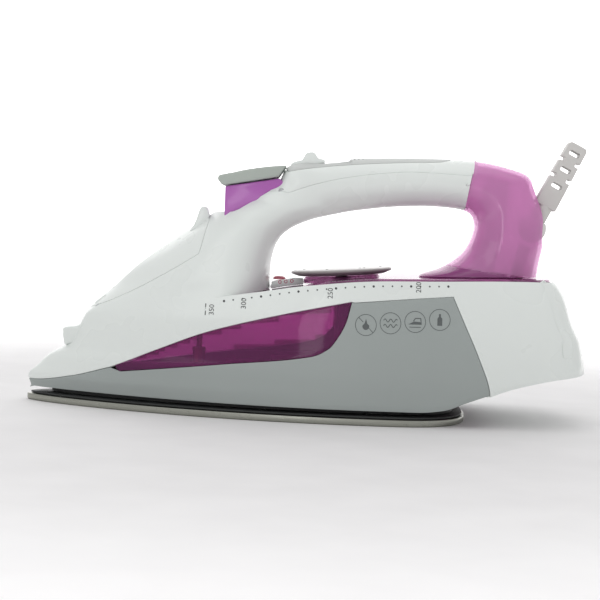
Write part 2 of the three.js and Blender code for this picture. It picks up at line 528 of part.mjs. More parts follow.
function makeTank() {
  const inset = WALL + GAP;
  const outer = hull(inset);
  const inner = hull(inset + TANK_WALL).intersect(block(TANK_FRONT + TANK_WALL, TANK_REAR - TANK_WALL,
    -90, 90, TANK_FLOOR + TANK_WALL, 190));
  const vessel = outer.intersect(block(TANK_FRONT, TANK_REAR, -90, 90, TANK_FLOOR, 190)).subtract(inner);
  const coverBottom = -COVER_DROP - COVER_THICKNESS;
  const sealTop = coverBottom - GAP;
  const tankTop = sealTop - SEAL_THICKNESS - GAP;
  let tank = vessel.intersect(prism(below(RIM, tankTop)));
  tank = tank.add(tankPad(inset + TANK_WALL, -GAP));
  const shaftHole = tiltedRod(SLEEVE_DIAMETER + 2 * GAP, -DIAL_Z, 0);
  tank = tank.subtract(shaftHole).subtract(rod(SEAT_DIAMETER + 2 * GAP, 0, 60, VALVE_X, 0));
  add('water_tank', tank, 'purple');
  add('tank_seal', vessel.intersect(prism(above(RIM, tankTop + GAP))).intersect(prism(below(RIM, sealTop))),
    'rubber');

  const stations = [COVER_FRONT, 101.6 * SX, ...RAMP, 181.6 * SX, 206.5 * SX, 259.6 * SX, COVER_REAR];
  const top = stations.map((x) => [x, coverTopAt(x)]);
  const bottom = stations.map((x) => [x, rimAt(x) + coverBottom]).reverse();
  let cover = outer.intersect(prism([...top, ...bottom]));
  cover = cover.add(tiltedRod(BOSS_DIAMETER, -7, -DIAL_THICKNESS - FIT));
  cover = cover.subtract(shaftHole).subtract(tiltedRod(SLEEVE_DIAMETER + 2 * GAP, -9, 5));
  cover = cover.subtract(rod(FILLER_BORE + 2 * (TANK_WALL + GAP), 0, 190, FILLER_X, 0, 16));
  cover = cover.subtract(rod(ROD_DIAMETER + 2 * FIT, 0, 190, VALVE_X, 0, 8));
  cover = cover.subtract(rod(LEAD_DIAMETER + 2, 0, 190, LEAD_X, 0, 8));
  add('tank_cover', cover, 'purple');

  const neckTop = 66.5 * SZ;
  const bore = FILLER_BORE / 2;
  const neckFoot = 45 * SZ;
  add('filler_neck', turned([[bore, neckFoot], [bore + TANK_WALL, neckFoot], [bore + TANK_WALL, neckTop - 2],
    [bore + 3, neckTop - 1], [bore + 3, neckTop], [bore + 1.5, neckTop], [bore, neckTop - 2],
    [bore, neckFoot]], FILLER_X, 0, 16), 'strip');
  const sealFoot = coverTopAt(FILLER_X + bore + 4) + GAP;
  const sealBore = FILLER_BORE + 2 * TANK_WALL + 2 * GAP;
  add('filler_seal', tube(FILLER_BORE + 2 * (TANK_WALL + SEAL_LIP), sealBore, sealFoot, sealFoot + 1.6,
    FILLER_X, 0, 16), 'rubber');
  add('valve_seat', tube(SEAT_DIAMETER, ROD_DIAMETER + FIT, TANK_FLOOR - 4, TANK_FLOOR + 4, VALVE_X, 0, 10),
    'brass');
  add('valve_rod', turned([[0, TANK_FLOOR + 0.5], [ROD_DIAMETER / 2, TANK_FLOOR + 3],
    [ROD_DIAMETER / 2, 84 * SZ], [0, 84 * SZ]], VALVE_X, 0, 8), 'brass');
}

function makeDial() {
  const r = DIAL_DIAMETER / 2;
  add('temperature_dial', turned([[0, -DIAL_THICKNESS], [r - 4, -DIAL_THICKNESS], [r, -1], [r, -0.4],
    [r - 0.8, 0], [r - 6, 0.5], [0, 1.2]], 0, 0, 32), 'strip', dialGroup);
  const shaftFoot = -(DIAL_Z - SHROUD_TOP - 1.6) / Math.cos(TILT);
  add('dial_shaft', rod(SHAFT_DIAMETER, shaftFoot, -DIAL_THICKNESS - GAP), 'strip', dialGroup);
  add('shaft_sleeve', tube(SLEEVE_DIAMETER, SHAFT_DIAMETER + 2 * FIT, shaftFoot + 3.5, -DIAL_THICKNESS - 1),
    'purple', dialGroup);
  const [x0, x1] = [127 * SX, 143.6 * SX];
  const blockTop = line([[143.6, 69.2], [138.3, 69.4], [127, 67.2]]);
  add('pointer_block', prism([[x0, coverTopAt(x0) + GAP], [RAMP[0], coverTopAt(RAMP[0]) + GAP],
    [RAMP[1], coverTopAt(RAMP[1]) + GAP], [x1, coverTopAt(x1) + GAP], ...blockTop], -7, 7), 'white');
  const lensFoot = (67.2 + 4 * (69.4 - 67.2) / 11.3) * SZ + 0.7 + GAP;
  add('pilot_lens', turned([[0, lensFoot], [3.4, lensFoot], [3.2, lensFoot + 0.7], [2, lensFoot + 1.3],
    [0, lensFoot + 1.5]], 131 * SX, 0, 12), 'lens');
}

// ---------------------------------------------------------------- handle
const SLIDER_SLOPE = 0.16;
const SLIDER_FLOOR = line([[133, 126.5], [164, 126.5 + 31 * SLIDER_SLOPE]]);
const SLIDER_HALF = 7;
const CORE_HALF = 7;
const BALL = [262.8 * SX, 100 * SZ];
const GUARD_LEAN = THREE.MathUtils.degToRad(26.6);

function makeHandle() {
  const openings = prism(BUTTON_VIEW).add(prism(BUTTON_SLOT, -SLOT_HALF, SLOT_HALF));
  const notLeg = prism(grown(legOutline, GAP));
  let shell = columnSkin.intersect(prism(handleOutline)).subtract(notLeg).subtract(openings)
    .subtract(prism(grown(lidOutline, GAP)));
  shell = shell.subtract(prism(grown(topOutline, GAP)));
  shell = shell.subtract(crossRod(PIN_DIAMETER + GAP, ...PIVOT, -30, 30, 8));
  add('handle_shell', shell, 'white');
  add('handle_top', columnSkin.intersect(prism(topOutline)).subtract(notLeg).subtract(openings)
    .subtract(prism(grown(stripOutline, GAP))), 'white');
  const recess = prism([...SLIDER_FLOOR, [SLIDER_FLOOR[1][0], 190], [SLIDER_FLOOR[0][0], 190]],
    -SLIDER_HALF - FIT, SLIDER_HALF + FIT);
  add('grip_insert', columnOuter.subtract(bow(WALL + 1)).intersect(prism(stripOutline)).subtract(openings)
    .subtract(recess), 'strip');

  const foot = [[195 * SX, coverTopAt(195 * SX) + GAP], [206.5 * SX, coverTopAt(206.5 * SX) + GAP],
    [259.6 * SX, coverTopAt(259.6 * SX) + GAP], [320, coverTopAt(320) + GAP]];
  const slot = line([[256.5, 92], [256.5, 108], [262, 127], [290, 127], [290, 92]]);
  const leg = prism(legOutline).intersect(prism(above(foot)));
  const slotHalf = BALL_DIAMETER / 2 - 0.5;
  const ballRoom = wasm.Manifold.sphere(BALL_DIAMETER / 2 + GAP, 24).translate([BALL[0], 0, BALL[1]]);
  add('rear_cover', columnSkin.intersect(leg).subtract(prism(slot, -slotHalf, slotHalf)).subtract(ballRoom),
    'lilac');
  add('handle_core', prism(line([[234.5, 112], [238, 126], [249, 124], [248, 100], [245, 90], [243, 77],
    [230, 77], [236, 88], [239.5, 100], [238, 107]]), -CORE_HALF, CORE_HALF), 'white');

  const floor = SLIDER_FLOOR.map(([x, z]) => [x, z + GAP]);
  const at = (x, dz) => [x * SX, floor[0][1] + SLIDER_SLOPE * (x * SX - floor[0][0]) * SZ / SX + dz];
  add('steam_slider', prism([at(134.8, 0), at(152.6, 0), at(152.6, 1.6), at(149.5, 2.6), at(147, 6.1),
    at(142.2, 6.4), at(140.8, 3.2), at(136, 2.6), at(134.8, 1.6)], -SLIDER_HALF, SLIDER_HALF), 'white');
}

// ---------------------------------------------------------------- buttons and pumps
function leverUndersideAt(x) {
  return heightOn(line([[101, 96.2], [104.5, 96.8], [127.6, 109.5]]), x);
}

function makeButtons() {
  const lever = line([[101.4, 98.5], [104.5, 96.8], [127.6, 109.5], [133.5, 111.5], [133.5, 117.5],
    [129.2, 120.9], [101.4, 115.9]]);
  const cap = line([[99.9, 115.9], [128.7, 121.3], [132.8, 127.4], [122.8, 126.4], [104.6, 122.6],
    [98, 121.2], [97.2, 119.2]]);
  [['spray', -1], ['steam', 1]].forEach(([name, side]) => {
    const middle = (width) => side * (BUTTON_SPLIT + width) / 2;
    const span = (width) => [middle(width) - width / 2, middle(width) + width / 2];
    add(`${name}_button`, prism(lever, ...span(BUTTON_WIDTH)).subtract(
      crossRod(PIN_DIAMETER + 2 * FIT, ...PIVOT, -30, 30, 8)), 'button');
    add(`${name}_button_cap`, prism(lifted(cap, GAP), ...span(BUTTON_CAP_WIDTH)), 'light_grey');

    const y = side * PUMP_Y;
    const foot = coverTopAt(PUMP_X + PUMP_DIAMETER / 2) + GAP;
    const head = foot + PUMP_HEIGHT;
    const bore = PLUNGER_DIAMETER / 2 + FIT;
    add(`${name}_pump`, turned([[0, foot], [PUMP_DIAMETER / 2, foot], [PUMP_DIAMETER / 2, head], [bore, head],
      [bore, foot + 2], [0, foot + 2]], PUMP_X, y, 14), 'strip');
    const touch = leverUndersideAt(PUMP_X - PLUNGER_DIAMETER / 2) - GAP;
    const collar = touch - 3.4;
    const r = PLUNGER_DIAMETER / 2;
    const flange = PUMP_DIAMETER / 2 - 0.6;
    add(`${name}_plunger`, turned([[0, foot + PLUNGER_CLEAR], [r, foot + PLUNGER_CLEAR], [r, collar],
      [flange, collar], [flange, collar + 1.2], [r, collar + 1.2], [r, touch - 0.4], [0, touch]],
    PUMP_X, y, 12), 'white');
    const turns = 5;
    const perTurn = 8;
    const coil = Array.from({ length: turns * perTurn + 1 }, (_, i) => {
      const angle = 2 * Math.PI * i / perTurn;
      const radius = PLUNGER_DIAMETER / 2 + FIT + SPRING_WIRE;
      const low = head + GAP + SPRING_WIRE * 0.7;
      const high = collar - GAP - SPRING_WIRE * 0.7;
      return [PUMP_X + radius * Math.cos(angle), y + radius * Math.sin(angle),
        low + (high - low) * i / (turns * perTurn)];
    });
    add(`${name}_spring`, pipe(coil, SPRING_WIRE, turns * perTurn, 4), 'steel');
  });
  add('button_pin', crossRod(PIN_DIAMETER, ...PIVOT, -SLOT_HALF - 1.4, SLOT_HALF + 1.4, 8), 'steel');
  const port = PUMP_X - PUMP_DIAMETER / 2 - GAP - 0.8;
  const rise = coverTopAt(port) + 3.4;
  const beside = FILLER_BORE / 2 + TANK_WALL + SEAL_LIP + HOSE_DIAMETER / 2 + FIT;
  const run = (side) => [[port, side * PUMP_Y, rise], [92 * SX, side * (beside + 0.5), 62 * SZ],
    [72 * SX, side * beside, 57.3 * SZ], [54 * SX, side * (10.7 * SY - WALL), 54.3 * SZ],
    [45 * SX, side * (9.1 * SY - 1.5 * WALL), 50.8 * SZ]];
  add('spray_hose', pipe([...run(-1), [42 * SX, -5 * SY, 44.5 * SZ], [38.5 * SX, -1.5 * SY, 39.8 * SZ],
    [NOZZLE[3][0] + 0.8, 0, 39.4 * SZ]], HOSE_DIAMETER, 16), 'strip');
  const foot = FRONT_SCREW - SCREW_HEAD / 2 - HOSE_DIAMETER / 2 - HOSE_CLEAR;
  const pastNozzle = Math.max(foot, NOZZLE[3][0] + HOSE_DIAMETER / 2 + GAP);
  const tipUp = HOSE_DIAMETER / 2 * (pastNozzle - foot) / (34 * SZ - SHROUD_TOP);
  add('steam_hose', pipe([...run(1), [42 * SX, 9.1 * SY - 1.5 * WALL, 44 * SZ],
    [pastNozzle, 5.5 * SY, 34 * SZ], [foot, 5 * SY, SHROUD_TOP + GAP + tipUp]], HOSE_DIAMETER, 18), 'strip');
}

// ---------------------------------------------------------------- electrics and cord outlet
const TERMINAL_RISE = 9;          // terminal block above the underside of the tank
const WIRE_TURN = 18.35;          // the wires have turned level this far in front of the terminal block

function makeElectrics() {
  const [x0, x1] = [246 * SX, 262 * SX];
  const z0 = TANK_FLOOR + TERMINAL_RISE;
  add('terminal_block', block(x0, x1, -14, 14, z0, z0 + 12), 'strip');
  add('cord_clamp', block(x0 + 4, x1, -9, 9, z0 + 14, z0 + 21), 'strip');
  const tail = x0 - GAP - WIRE_DIAMETER / 2 - FIT;
  const under = (TANK_FLOOR + SHROUD_TOP) / 2;
  const wire = (name, y, end) => add(name, pipe([[tail, y, z0 + 6], [tail, y, z0 + 3],
    [tail, y * 1.2, under + 3], [tail - WIRE_TURN, (y + end[1]) / 2, under], ...end.slice(2)],
  WIRE_DIAMETER, Math.ceil(12 * SX)), 'black');
  const hole = SOLE_LENGTH - 30;
  for (const [name, side] of [['live_wire', -1], ['neutral_wire', 1]]) {
    const end = side * ELEMENT_SIDE;
    wire(name, side * 9, [hole, end, [hole + 3, end - side / 2, under - 0.4], [hole, end, ELEMENT_Z + 3]]);
  }
  const earth = Math.max(hole - 8, THERMOSTAT_X + THERMOSTAT_DIAMETER / 2 + 4);
  wire('earth_wire', 0, [hole, 0, [Math.max(hole + 6, earth + 14), 0, under - 0.6],
    [earth, 4, SHROUD_TOP + WIRE_DIAMETER / 2 + GAP]]);
  add('mains_lead', pipe([[BALL[0] - 3.5, 0, BALL[1] - 9], [LEAD_X + 1.5, 0, BALL[1] - 18],
    [LEAD_X, 0, 78 * SZ], [LEAD_X, 0, z0 + 21 + GAP]], LEAD_DIAMETER, 8, 8), 'strip');

  const guardGroup = new THREE.Group();
  guardGroup.position.set(BALL[0], 0, BALL[1]);
  guardGroup.rotation.y = GUARD_LEAN;
  iron.add(guardGroup);
  const r = BALL_DIAMETER / 2;
  const flat = 5.2;
  const sweep = [90, 60, 30, 0, -30, -60].map((a) => THREE.MathUtils.degToRad(a));
  const profile = sweep.map((a) => [r * Math.cos(a), r * Math.sin(a)]).filter(([, z]) => z < flat).reverse();
  add('cord_ball', turned([[0, -r], ...profile, [Math.sqrt(r * r - flat * flat), flat], [0, flat]], 0, 0, 16),
    'strip', guardGroup);
  const neckTop = 14;
  const end = flat + GAP + GUARD_LENGTH + 2;
  const half = GUARD_WIDTH / 2;
  let guard = prism([[-half - 0.4, neckTop - 1], [half + 0.4, neckTop - 1], [half - 0.2, end - 1],
    [half - 1.2, end], [-half + 1.2, end], [-half + 0.2, end - 1]], -half + 1, half - 1);
  guard = guard.add(rod(9, flat + GAP, neckTop, 0, 0, 12));
  for (const from of [5.2, 14.7, 24.2]) {
    guard = guard.subtract(block(-2.9, 2.9, -20, 20, end - from - 1.3, end - from + 1.3));
  }
  for (const from of [9.9, 19.4]) {
    guard = guard.subtract(block(-20, -3, -20, 20, end - from - 1.2, end - from + 1.2));
    guard = guard.subtract(block(3, 20, -20, 20, end - from - 1.2, end - from + 1.2));
  }
  add('cord_guard', guard, 'strip', guardGroup);
}

makeSole();
makeHeater();
makeShroud();
makeSkins();
makeLid();
makeTank();
makeDial();
makeHandle();
makeButtons();
makeElectrics();

export default iron;
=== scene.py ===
# Steam iron: the finished skins, trims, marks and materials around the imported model. Metres, nose towards -X.
import bmesh
import bpy
import json
import math
from mathutils import Matrix, Vector


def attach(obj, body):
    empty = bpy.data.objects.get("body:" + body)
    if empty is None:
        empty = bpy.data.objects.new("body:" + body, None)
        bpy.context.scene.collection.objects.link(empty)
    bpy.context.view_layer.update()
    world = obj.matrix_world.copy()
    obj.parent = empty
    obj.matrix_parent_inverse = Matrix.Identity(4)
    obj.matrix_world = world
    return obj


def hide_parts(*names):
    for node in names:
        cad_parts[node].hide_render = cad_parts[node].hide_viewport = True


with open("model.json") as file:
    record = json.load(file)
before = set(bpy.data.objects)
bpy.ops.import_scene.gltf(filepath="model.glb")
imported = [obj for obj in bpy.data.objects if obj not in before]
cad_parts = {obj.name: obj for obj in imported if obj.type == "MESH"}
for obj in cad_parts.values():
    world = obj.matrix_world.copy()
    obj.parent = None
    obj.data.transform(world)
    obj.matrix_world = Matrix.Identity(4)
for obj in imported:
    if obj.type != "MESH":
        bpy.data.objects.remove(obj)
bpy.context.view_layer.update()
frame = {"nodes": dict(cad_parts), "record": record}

# ---------------------------------------------------------------- form lines, millimetres from the nose tip
MM = 0.001
MIDDLE = 145                      # the nose tip is this far in front of the origin
SEAM = 0.15                       # half of the line between two pieces
WALL = 2.2
HALF_WIDTH = 58


def metres(x, y, z):
    return Vector(((x - MIDDLE) * MM, y * MM, z * MM))


def flowing(table):
    """A smooth curve through the points that doesn't overshoot them."""
    xs = [p[0] for p in table]
    ys = [p[1] for p in table]
    steps = [b - a for a, b in zip(xs, xs[1:])]
    rises = [(b - a) / h for a, b, h in zip(ys, ys[1:], steps)]
    slopes = [rises[0]] + [2 * p * q / (p + q) if p * q > 0 else 0.0 for p, q in zip(rises, rises[1:])] + [rises[-1]]

    def at(x):
        x = min(max(x, xs[0]), xs[-1])
        i = 0
        while i < len(steps) - 1 and x > xs[i + 1]:
            i += 1
        h = steps[i]
        t = (x - xs[i]) / h
        return (ys[i] * (1 + 2 * t) * (1 - t) ** 2 + slopes[i] * h * t * (1 - t) ** 2
                + ys[i + 1] * t * t * (3 - 2 * t) + slopes[i + 1] * h * t * t * (t - 1))
    return at


def eased(t):
    t = min(max(t, 0.0), 1.0)
    return t * t * (3 - 2 * t)


def mix(a, b, t):
    return a + (b - a) * t


rim = flowing([(28, 46.0), (60, 51.8), (101.6, 59.6), (124.1, 63.5), (142.4, 66.7), (181.6, 70.8), (206.5, 71.6),
               (259.6, 73.1), (300, 73.1)])
underside = flowing([(-20, 7.2), (205, 7.2), (218.5, 8.5), (229.7, 12.8), (250.5, 20.4), (276.1, 25.9), (310, 29.5)])
skirt_front = flowing([(-20, 11), (1.8, 11), (25.1, 14.9), (46.3, 21)])
window_low = flowing([(50.7, 19.2), (104.6, 26.6), (149.3, 32.8), (157.4, 37), (161.3, 42), (165.3, 49.7),
                      (168, 60.2)])
window_high = flowing([(48.7, 22), (70, 31.2), (96.7, 42.1), (131.7, 52), (168, 60.2)])
skirt_back = flowing([(168, 59.7), (199.2, 62.8), (218.3, 64.5)])
rear_line = flowing([(0, 238.2), (15.8, 237.9), (18.4, 237.6), (35.7, 231.3), (52, 223.9), (64.5, 218.3), (70, 215.8)])
nose_at = flowing([(2, 1.8), (7, 1.8), (13, 0.1), (18.7, 5.6), (24.5, 11), (30, 19.9), (39.8, 25.7), (47, 29.3),
                   (51.6, 33.4), (61.8, 44.6), (74.5, 57.3), (84, 70)])
heel_at = flowing([(2, 290), (29, 290), (35, 289.2), (43, 287.7), (53, 283), (62.7, 280), (68.3, 277.6), (73.4, 274),
                   (84, 268)])
lean_at = flowing([(2, 1), (20, 1), (30, 0.985), (45, 0.94), (60, 0.875), (73, 0.8), (84, 0.74)])
blunt_at = flowing([(2, 0.815), (7, 0.815), (20, 0.75), (30, 0.68), (50, 0.6), (84, 0.6)])


def hull_share(u, blunt):
    u = min(max(u, 0.0), 1.0)
    front = math.sin(math.pi / 2 * u / 0.6) ** blunt if u < 0.6 else 1 - 0.17 * ((u - 0.6) / 0.4) ** 1.6
    return front * (max(0.0, 1 - ((u - 0.93) / 0.07) ** 3) ** (1 / 3) if u > 0.93 else 1)


def on_hull(u, z, inset=0.0):
    """A point of the boat-shaped body: u runs from nose to heel."""
    nose = nose_at(z) + 2 * inset
    return (nose + u * (heel_at(z) - inset - nose), hull_share(u, blunt_at(z)) * (HALF_WIDTH * lean_at(z) - inset), z)


def share_along(x, z, inset=0.0):
    nose = nose_at(z) + 2 * inset
    return min(max((x - nose) / (heel_at(z) - inset - nose), 0.0), 1.0)


def hull_y(x, z, inset=0.0):
    return on_hull(share_along(x, z, inset), z, inset)[1]


# Column, grip and rear leg: top (or front) point, under (or rear) point, half width, place of the widest point
# along the chord, and how wedge-like the front is.
STATIONS = [
    (27.5, 43.5, 126, 52, 38.5, 0.75, 1), (33.4, 51.6, 126, 60, 37.5, 0.75, 1), (44.6, 61.8, 126, 68, 35, 0.73, 1),
    (57.3, 74, 126.2, 76, 30.5, 0.7, 0.9), (70.1, 83.9, 128, 85, 26, 0.64, 0.8), (82.9, 93.4, 132, 92, 22.5, 0.58, 0.6),
    (93, 100.5, 139, 97, 20, 0.54, 0.4), (101, 106.3, 149, 101, 18.5, 0.5, 0.2), (116, 112.5, 154, 102.3, 17.5, 0.5, 0),
    (128, 118, 157, 103.1, 16.6, 0.5, 0), (133.5, 127.5, 160, 103.8, 16, 0.5, 0), (149, 131, 165, 105, 15.5, 0.5, 0),
    (168, 132.8, 172, 106.2, 15.3, 0.5, 0), (190, 134.1, 190, 108.6, 15.3, 0.5, 0), (210, 134.5, 208, 109.6, 15.3, 0.5, 0),
    (224, 134.6, 221, 109, 15.5, 0.5, 0), (237, 133.4, 228.5, 107.3, 16, 0.5, 0), (249, 131, 231.5, 104, 16.5, 0.5, 0),
    (259, 127.5, 232.3, 100, 17, 0.5, 0), (265, 117, 231.5, 95.5, 17.5, 0.5, 0), (269, 104, 228.5, 88.5, 18, 0.5, 0),
    (268.8, 93, 223, 82.5, 19.5, 0.48, 0), (267, 82, 215, 77.5, 22, 0.45, 0), (265.7, 72, 205, 73.6, 25, 0.42, 0),
    (265, 66, 202, 69, 26, 0.42, 0)]
along_bow = [flowing([(i, row[k]) for i, row in enumerate(STATIONS)]) for k in range(7)]
LAST = len(STATIONS) - 1


def chord(s):
    return [curve(s) for curve in along_bow]


def fullness(s):
    """How squarely the front of a section turns its corners: fullest behind the buttons."""
    return 1 + 1.2 * eased((s - 7.6) / 1.0) * (1 - eased((s - 9.9) / 1.3))


def on_bow(s, angle, inset=0.0):
    """A point of the column, grip and leg: angle 0 is the top or front line, 180 the underside or back."""
    ax, az, bx, bz, half, widest, wedge = chord(s)
    turn = math.radians(min(max(angle, 0.0), 180.0))
    if angle <= 90:
        t = widest * (wedge * angle / 90 + (1 - wedge) * (1 - math.cos(turn)) ** fullness(s))
    else:
        t = widest - (1 - widest) * math.cos(turn)
    length = math.hypot(bx - ax, bz - az)
    start = inset * (1 + 0.6 * wedge) / length
    t = mix(start, 1 - inset / length, t)
    x, z = mix(ax, bx, t), mix(az, bz, t)
    y = (half - inset) * max(0.0, math.sin(turn)) ** (1 - 0.1 * wedge if angle <= 90 else 1)
    line = rim(x)
    if x < 108 and z < line + 16:   # the foot of the column runs smoothly out of the body
        y = mix(hull_y(x, z, inset), y, max(eased((z - line) / 16), eased((x - 98) / 9)))
    return x, y, z


def bow_place(x, z, near):
    """(station, angle) of the point of the bow's side seen at x, z."""
    def off(s):
        ax, az, bx, bz = chord(s)[:4]
        return (bx - ax) * (z - az) - (bz - az) * (x - ax)
    best = None
    steps = [i * 0.25 for i in range(4 * LAST + 1)]
    for low, high in zip(steps, steps[1:]):
        if off(low) * off(high) <= 0:
            a, b = low, high
            for _ in range(30):
                m = (a + b) / 2
                a, b = (m, b) if off(a) * off(m) > 0 else (a, m)
            if best is None or abs(a - near) < abs(best - near):
                best = a
    s = near if best is None else best
    ax, az, bx, bz, half, widest, wedge = chord(s)
    t = ((x - ax) * (bx - ax) + (z - az) * (bz - az)) / ((bx - ax) ** 2 + (bz - az) ** 2)
    t = min(max(t, 0.0), 1.0)
    if t > widest:
        return s, math.degrees(math.acos(-(t - widest) / (1 - widest)))
    low, high = 0.0, 90.0
    for _ in range(30):
        m = (low + high) / 2
        if widest * (wedge * m / 90 + (1 - wedge) * (1 - math.cos(math.radians(m))) ** fullness(s)) < t:
            low = m
        else:
            high = m
    return s, low


# ---------------------------------------------------------------- rows of points
def along(curve, x0, x1, count, lift=0.0):
    """count + 1 points of a line, evenly spaced along it, moved off it by lift."""
    fine = [(mix(x0, x1, i / 400), curve(mix(x0, x1, i / 400))) for i in range(401)]
    return even(fine, count, lift)


def even(fine, count, lift=0.0):
    lengths = [0.0]
    for a, b in zip(fine, fine[1:]):
        lengths.append(lengths[-1] + math.dist(a, b))
    out, k = [], 0
    for i in range(count + 1):
        goal = lengths[-1] * i / count
        while k < len(fine) - 2 and lengths[k + 1] < goal:
            k += 1
        t = (goal - lengths[k]) / ((lengths[k + 1] - lengths[k]) or 1)
        x, z = mix(fine[k][0], fine[k + 1][0], t), mix(fine[k][1], fine[k + 1][1], t)
        dx, dz = fine[k + 1][0] - fine[k][0], fine[k + 1][1] - fine[k][1]
        size = math.hypot(dx, dz) or 1
        out.append((x - dz / size * lift, z + dx / size * lift))
    return out


def chain(*parts):
    """Rows joined end to end."""
    out = list(parts[0])
    for part in parts[1:]:
        out += part[1:]
    return out


def hull_places(points, inset=0.0):
    return [(share_along(x, z, inset), z, x) for x, z in points]


def on_side(u, z, x):
    """A place on the hull: straight rungs along its side, running into the shares of nose and heel."""
    weight = eased((x - 24) / 22) * (1 - eased((u - 0.88) / 0.05))
    return on_hull(mix(u, share_along(x, z), weight), z)


def bow_places(points, near, centre_first=False):
    out = []
    for x, z in points:
        near, angle = bow_place(x, z, near)
        out.append((near, angle))
    if centre_first:
        out[0] = (out[0][0], 0.0)
    return out


# ---------------------------------------------------------------- making meshes
def skin(bm, place, low, high, rows, sides=(-1, 1), bend=1):
    """A fine grid on a form between two rows of places, on both sides; bend pulls the rungs quickly to the high row."""
    count = len(low) - 1
    for side in sides:
        made = bmesh.ops.create_grid(bm, x_segments=count, y_segments=rows, size=1)["verts"]
        for v in made:
            i, t = round((v.co.x + 1) / 2 * count), (v.co.y + 1) / 2
            a, b = low[i], high[i]
            first = b[0] + (a[0] - b[0]) * max(0.0, 1 - t) ** bend
            x, y, z = place(first, *(mix(p, q, t) for p, q in zip(a[1:], b[1:])))
            v.co = metres(x, side * y, z)
        faces = list({f for v in made for f in v.link_faces})
        for f in faces:
            f.normal_update()
        if sum(f.normal.y * side * f.calc_area() for f in faces) < 0:
            bmesh.ops.reverse_faces(bm, faces=faces)


def closed(bm, dist=2e-5):
    bmesh.ops.remove_doubles(bm, verts=bm.verts, dist=dist)
    bmesh.ops.dissolve_degenerate(bm, edges=bm.edges, dist=1e-6)


def outline_solid(bm, outline, y0, y1, edge=0.0, segments=2):
    """A side outline carried across the iron, with its edges rounded."""
    face = bm.faces.new([bm.verts.new(metres(x, y0, z)) for x, z in outline])
    grown = bmesh.ops.extrude_face_region(bm, geom=[face])
    moved = [g for g in grown["geom"] if isinstance(g, bmesh.types.BMVert)]
    bmesh.ops.translate(bm, verts=moved, vec=(0, (y1 - y0) * MM, 0))
    island = list({f for v in moved for f in v.link_faces} | {face})
    island = list({f for f in island} | {f for e in face.edges for f in e.link_faces})
    bmesh.ops.recalc_face_normals(bm, faces=island)
    if edge:
        edges = list({e for f in island for e in f.edges if e.calc_face_angle(0) > math.radians(25)})
        round_edges(bm, edges, edge, segments)


def round_edges(bm, edges, width, segments=2):
    bmesh.ops.bevel(bm, geom=edges, offset=width * MM, offset_type="OFFSET", segments=segments, profile=0.5,
                    affect="EDGES", clamp_overlap=True, material=-1)


def turned(bm, profile, centre, axis=(0, 0, 1), steps=48):
    """A profile [(radius, height), ...] spun about an axis through centre, in millimetres."""
    axis = Vector(axis).normalized()
    turn = Vector((0, 0, 1)).rotation_difference(axis).to_matrix()
    base = Vector(centre)
    verts = [bm.verts.new(base + turn @ (Vector((r, 0, h)) * MM)) for r, h in profile]
    edges = [bm.edges.new(pair) for pair in zip(verts, verts[1:])]
    made = bmesh.ops.spin(bm, geom=verts + edges, cent=base, axis=axis, dvec=(0, 0, 0), angle=2 * math.pi,
                          steps=steps, use_merge=True, use_duplicate=False)
    verts = [v for v in verts if v.is_valid]
    faces = list({f for v in verts for f in v.link_faces} | {g for g in made["geom_last"]
                                                               if isinstance(g, bmesh.types.BMFace)})
    seen, stack = set(faces), list(faces)
    while stack:
        for e in stack.pop().edges:
            for f in e.link_faces:
                if f not in seen:
                    seen.add(f)
                    stack.append(f)
    bmesh.ops.remove_doubles(bm, verts=list({v for f in seen for v in f.verts}), dist=1e-6)
    bmesh.ops.recalc_face_normals(bm, faces=[f for f in seen if f.is_valid])


def box(bm, x0, x1, y0, y1, z0, z1, edge=0.0, segments=2):
    made = bmesh.ops.create_cube(bm, size=1)["verts"]
    middle = (metres(x0, y0, z0) + metres(x1, y1, z1)) / 2
    bmesh.ops.scale(bm, verts=made, vec=((x1 - x0) * MM, (y1 - y0) * MM, (z1 - z0) * MM))
    bmesh.ops.translate(bm, verts=made, vec=middle)
    if edge:
        round_edges(bm, list({e for v in made for e in v.link_edges}), edge, segments)
    return made


def piece(name, bm, material, body, slot, *nodes, sharp=40):
    mesh = bpy.data.meshes.new(name)
    bm.to_mesh(mesh)
    bm.free()
    obj = bpy.data.objects.new(name, mesh)
    bpy.context.scene.collection.objects.link(obj)
    for mat in material if isinstance(material, (list, tuple)) else [material]:
        mesh.materials.append(mat)
    dress(obj, sharp)
    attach(obj, body)
    if nodes:
        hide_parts(*nodes)
    return obj


def dress(obj, sharp=40):
    mesh = obj.data
    mesh.polygons.foreach_set("use_smooth", [True] * len(mesh.polygons))
    mesh.set_sharp_from_angle(angle=math.radians(sharp))


def applied(obj):
    """The object's mesh with its modifiers worked in, as a new bmesh; the object itself is removed."""
    bpy.context.view_layer.update()
    seen = obj.evaluated_get(bpy.context.evaluated_depsgraph_get())
    bm = bmesh.new()
    bm.from_mesh(seen.to_mesh())
    bpy.data.objects.remove(obj)
    return bm


def temporary(bm):
    mesh = bpy.data.meshes.new("working")
    bm.to_mesh(mesh)
    bm.free()
    obj = bpy.data.objects.new("working", mesh)
    bpy.context.scene.collection.objects.link(obj)
    return obj


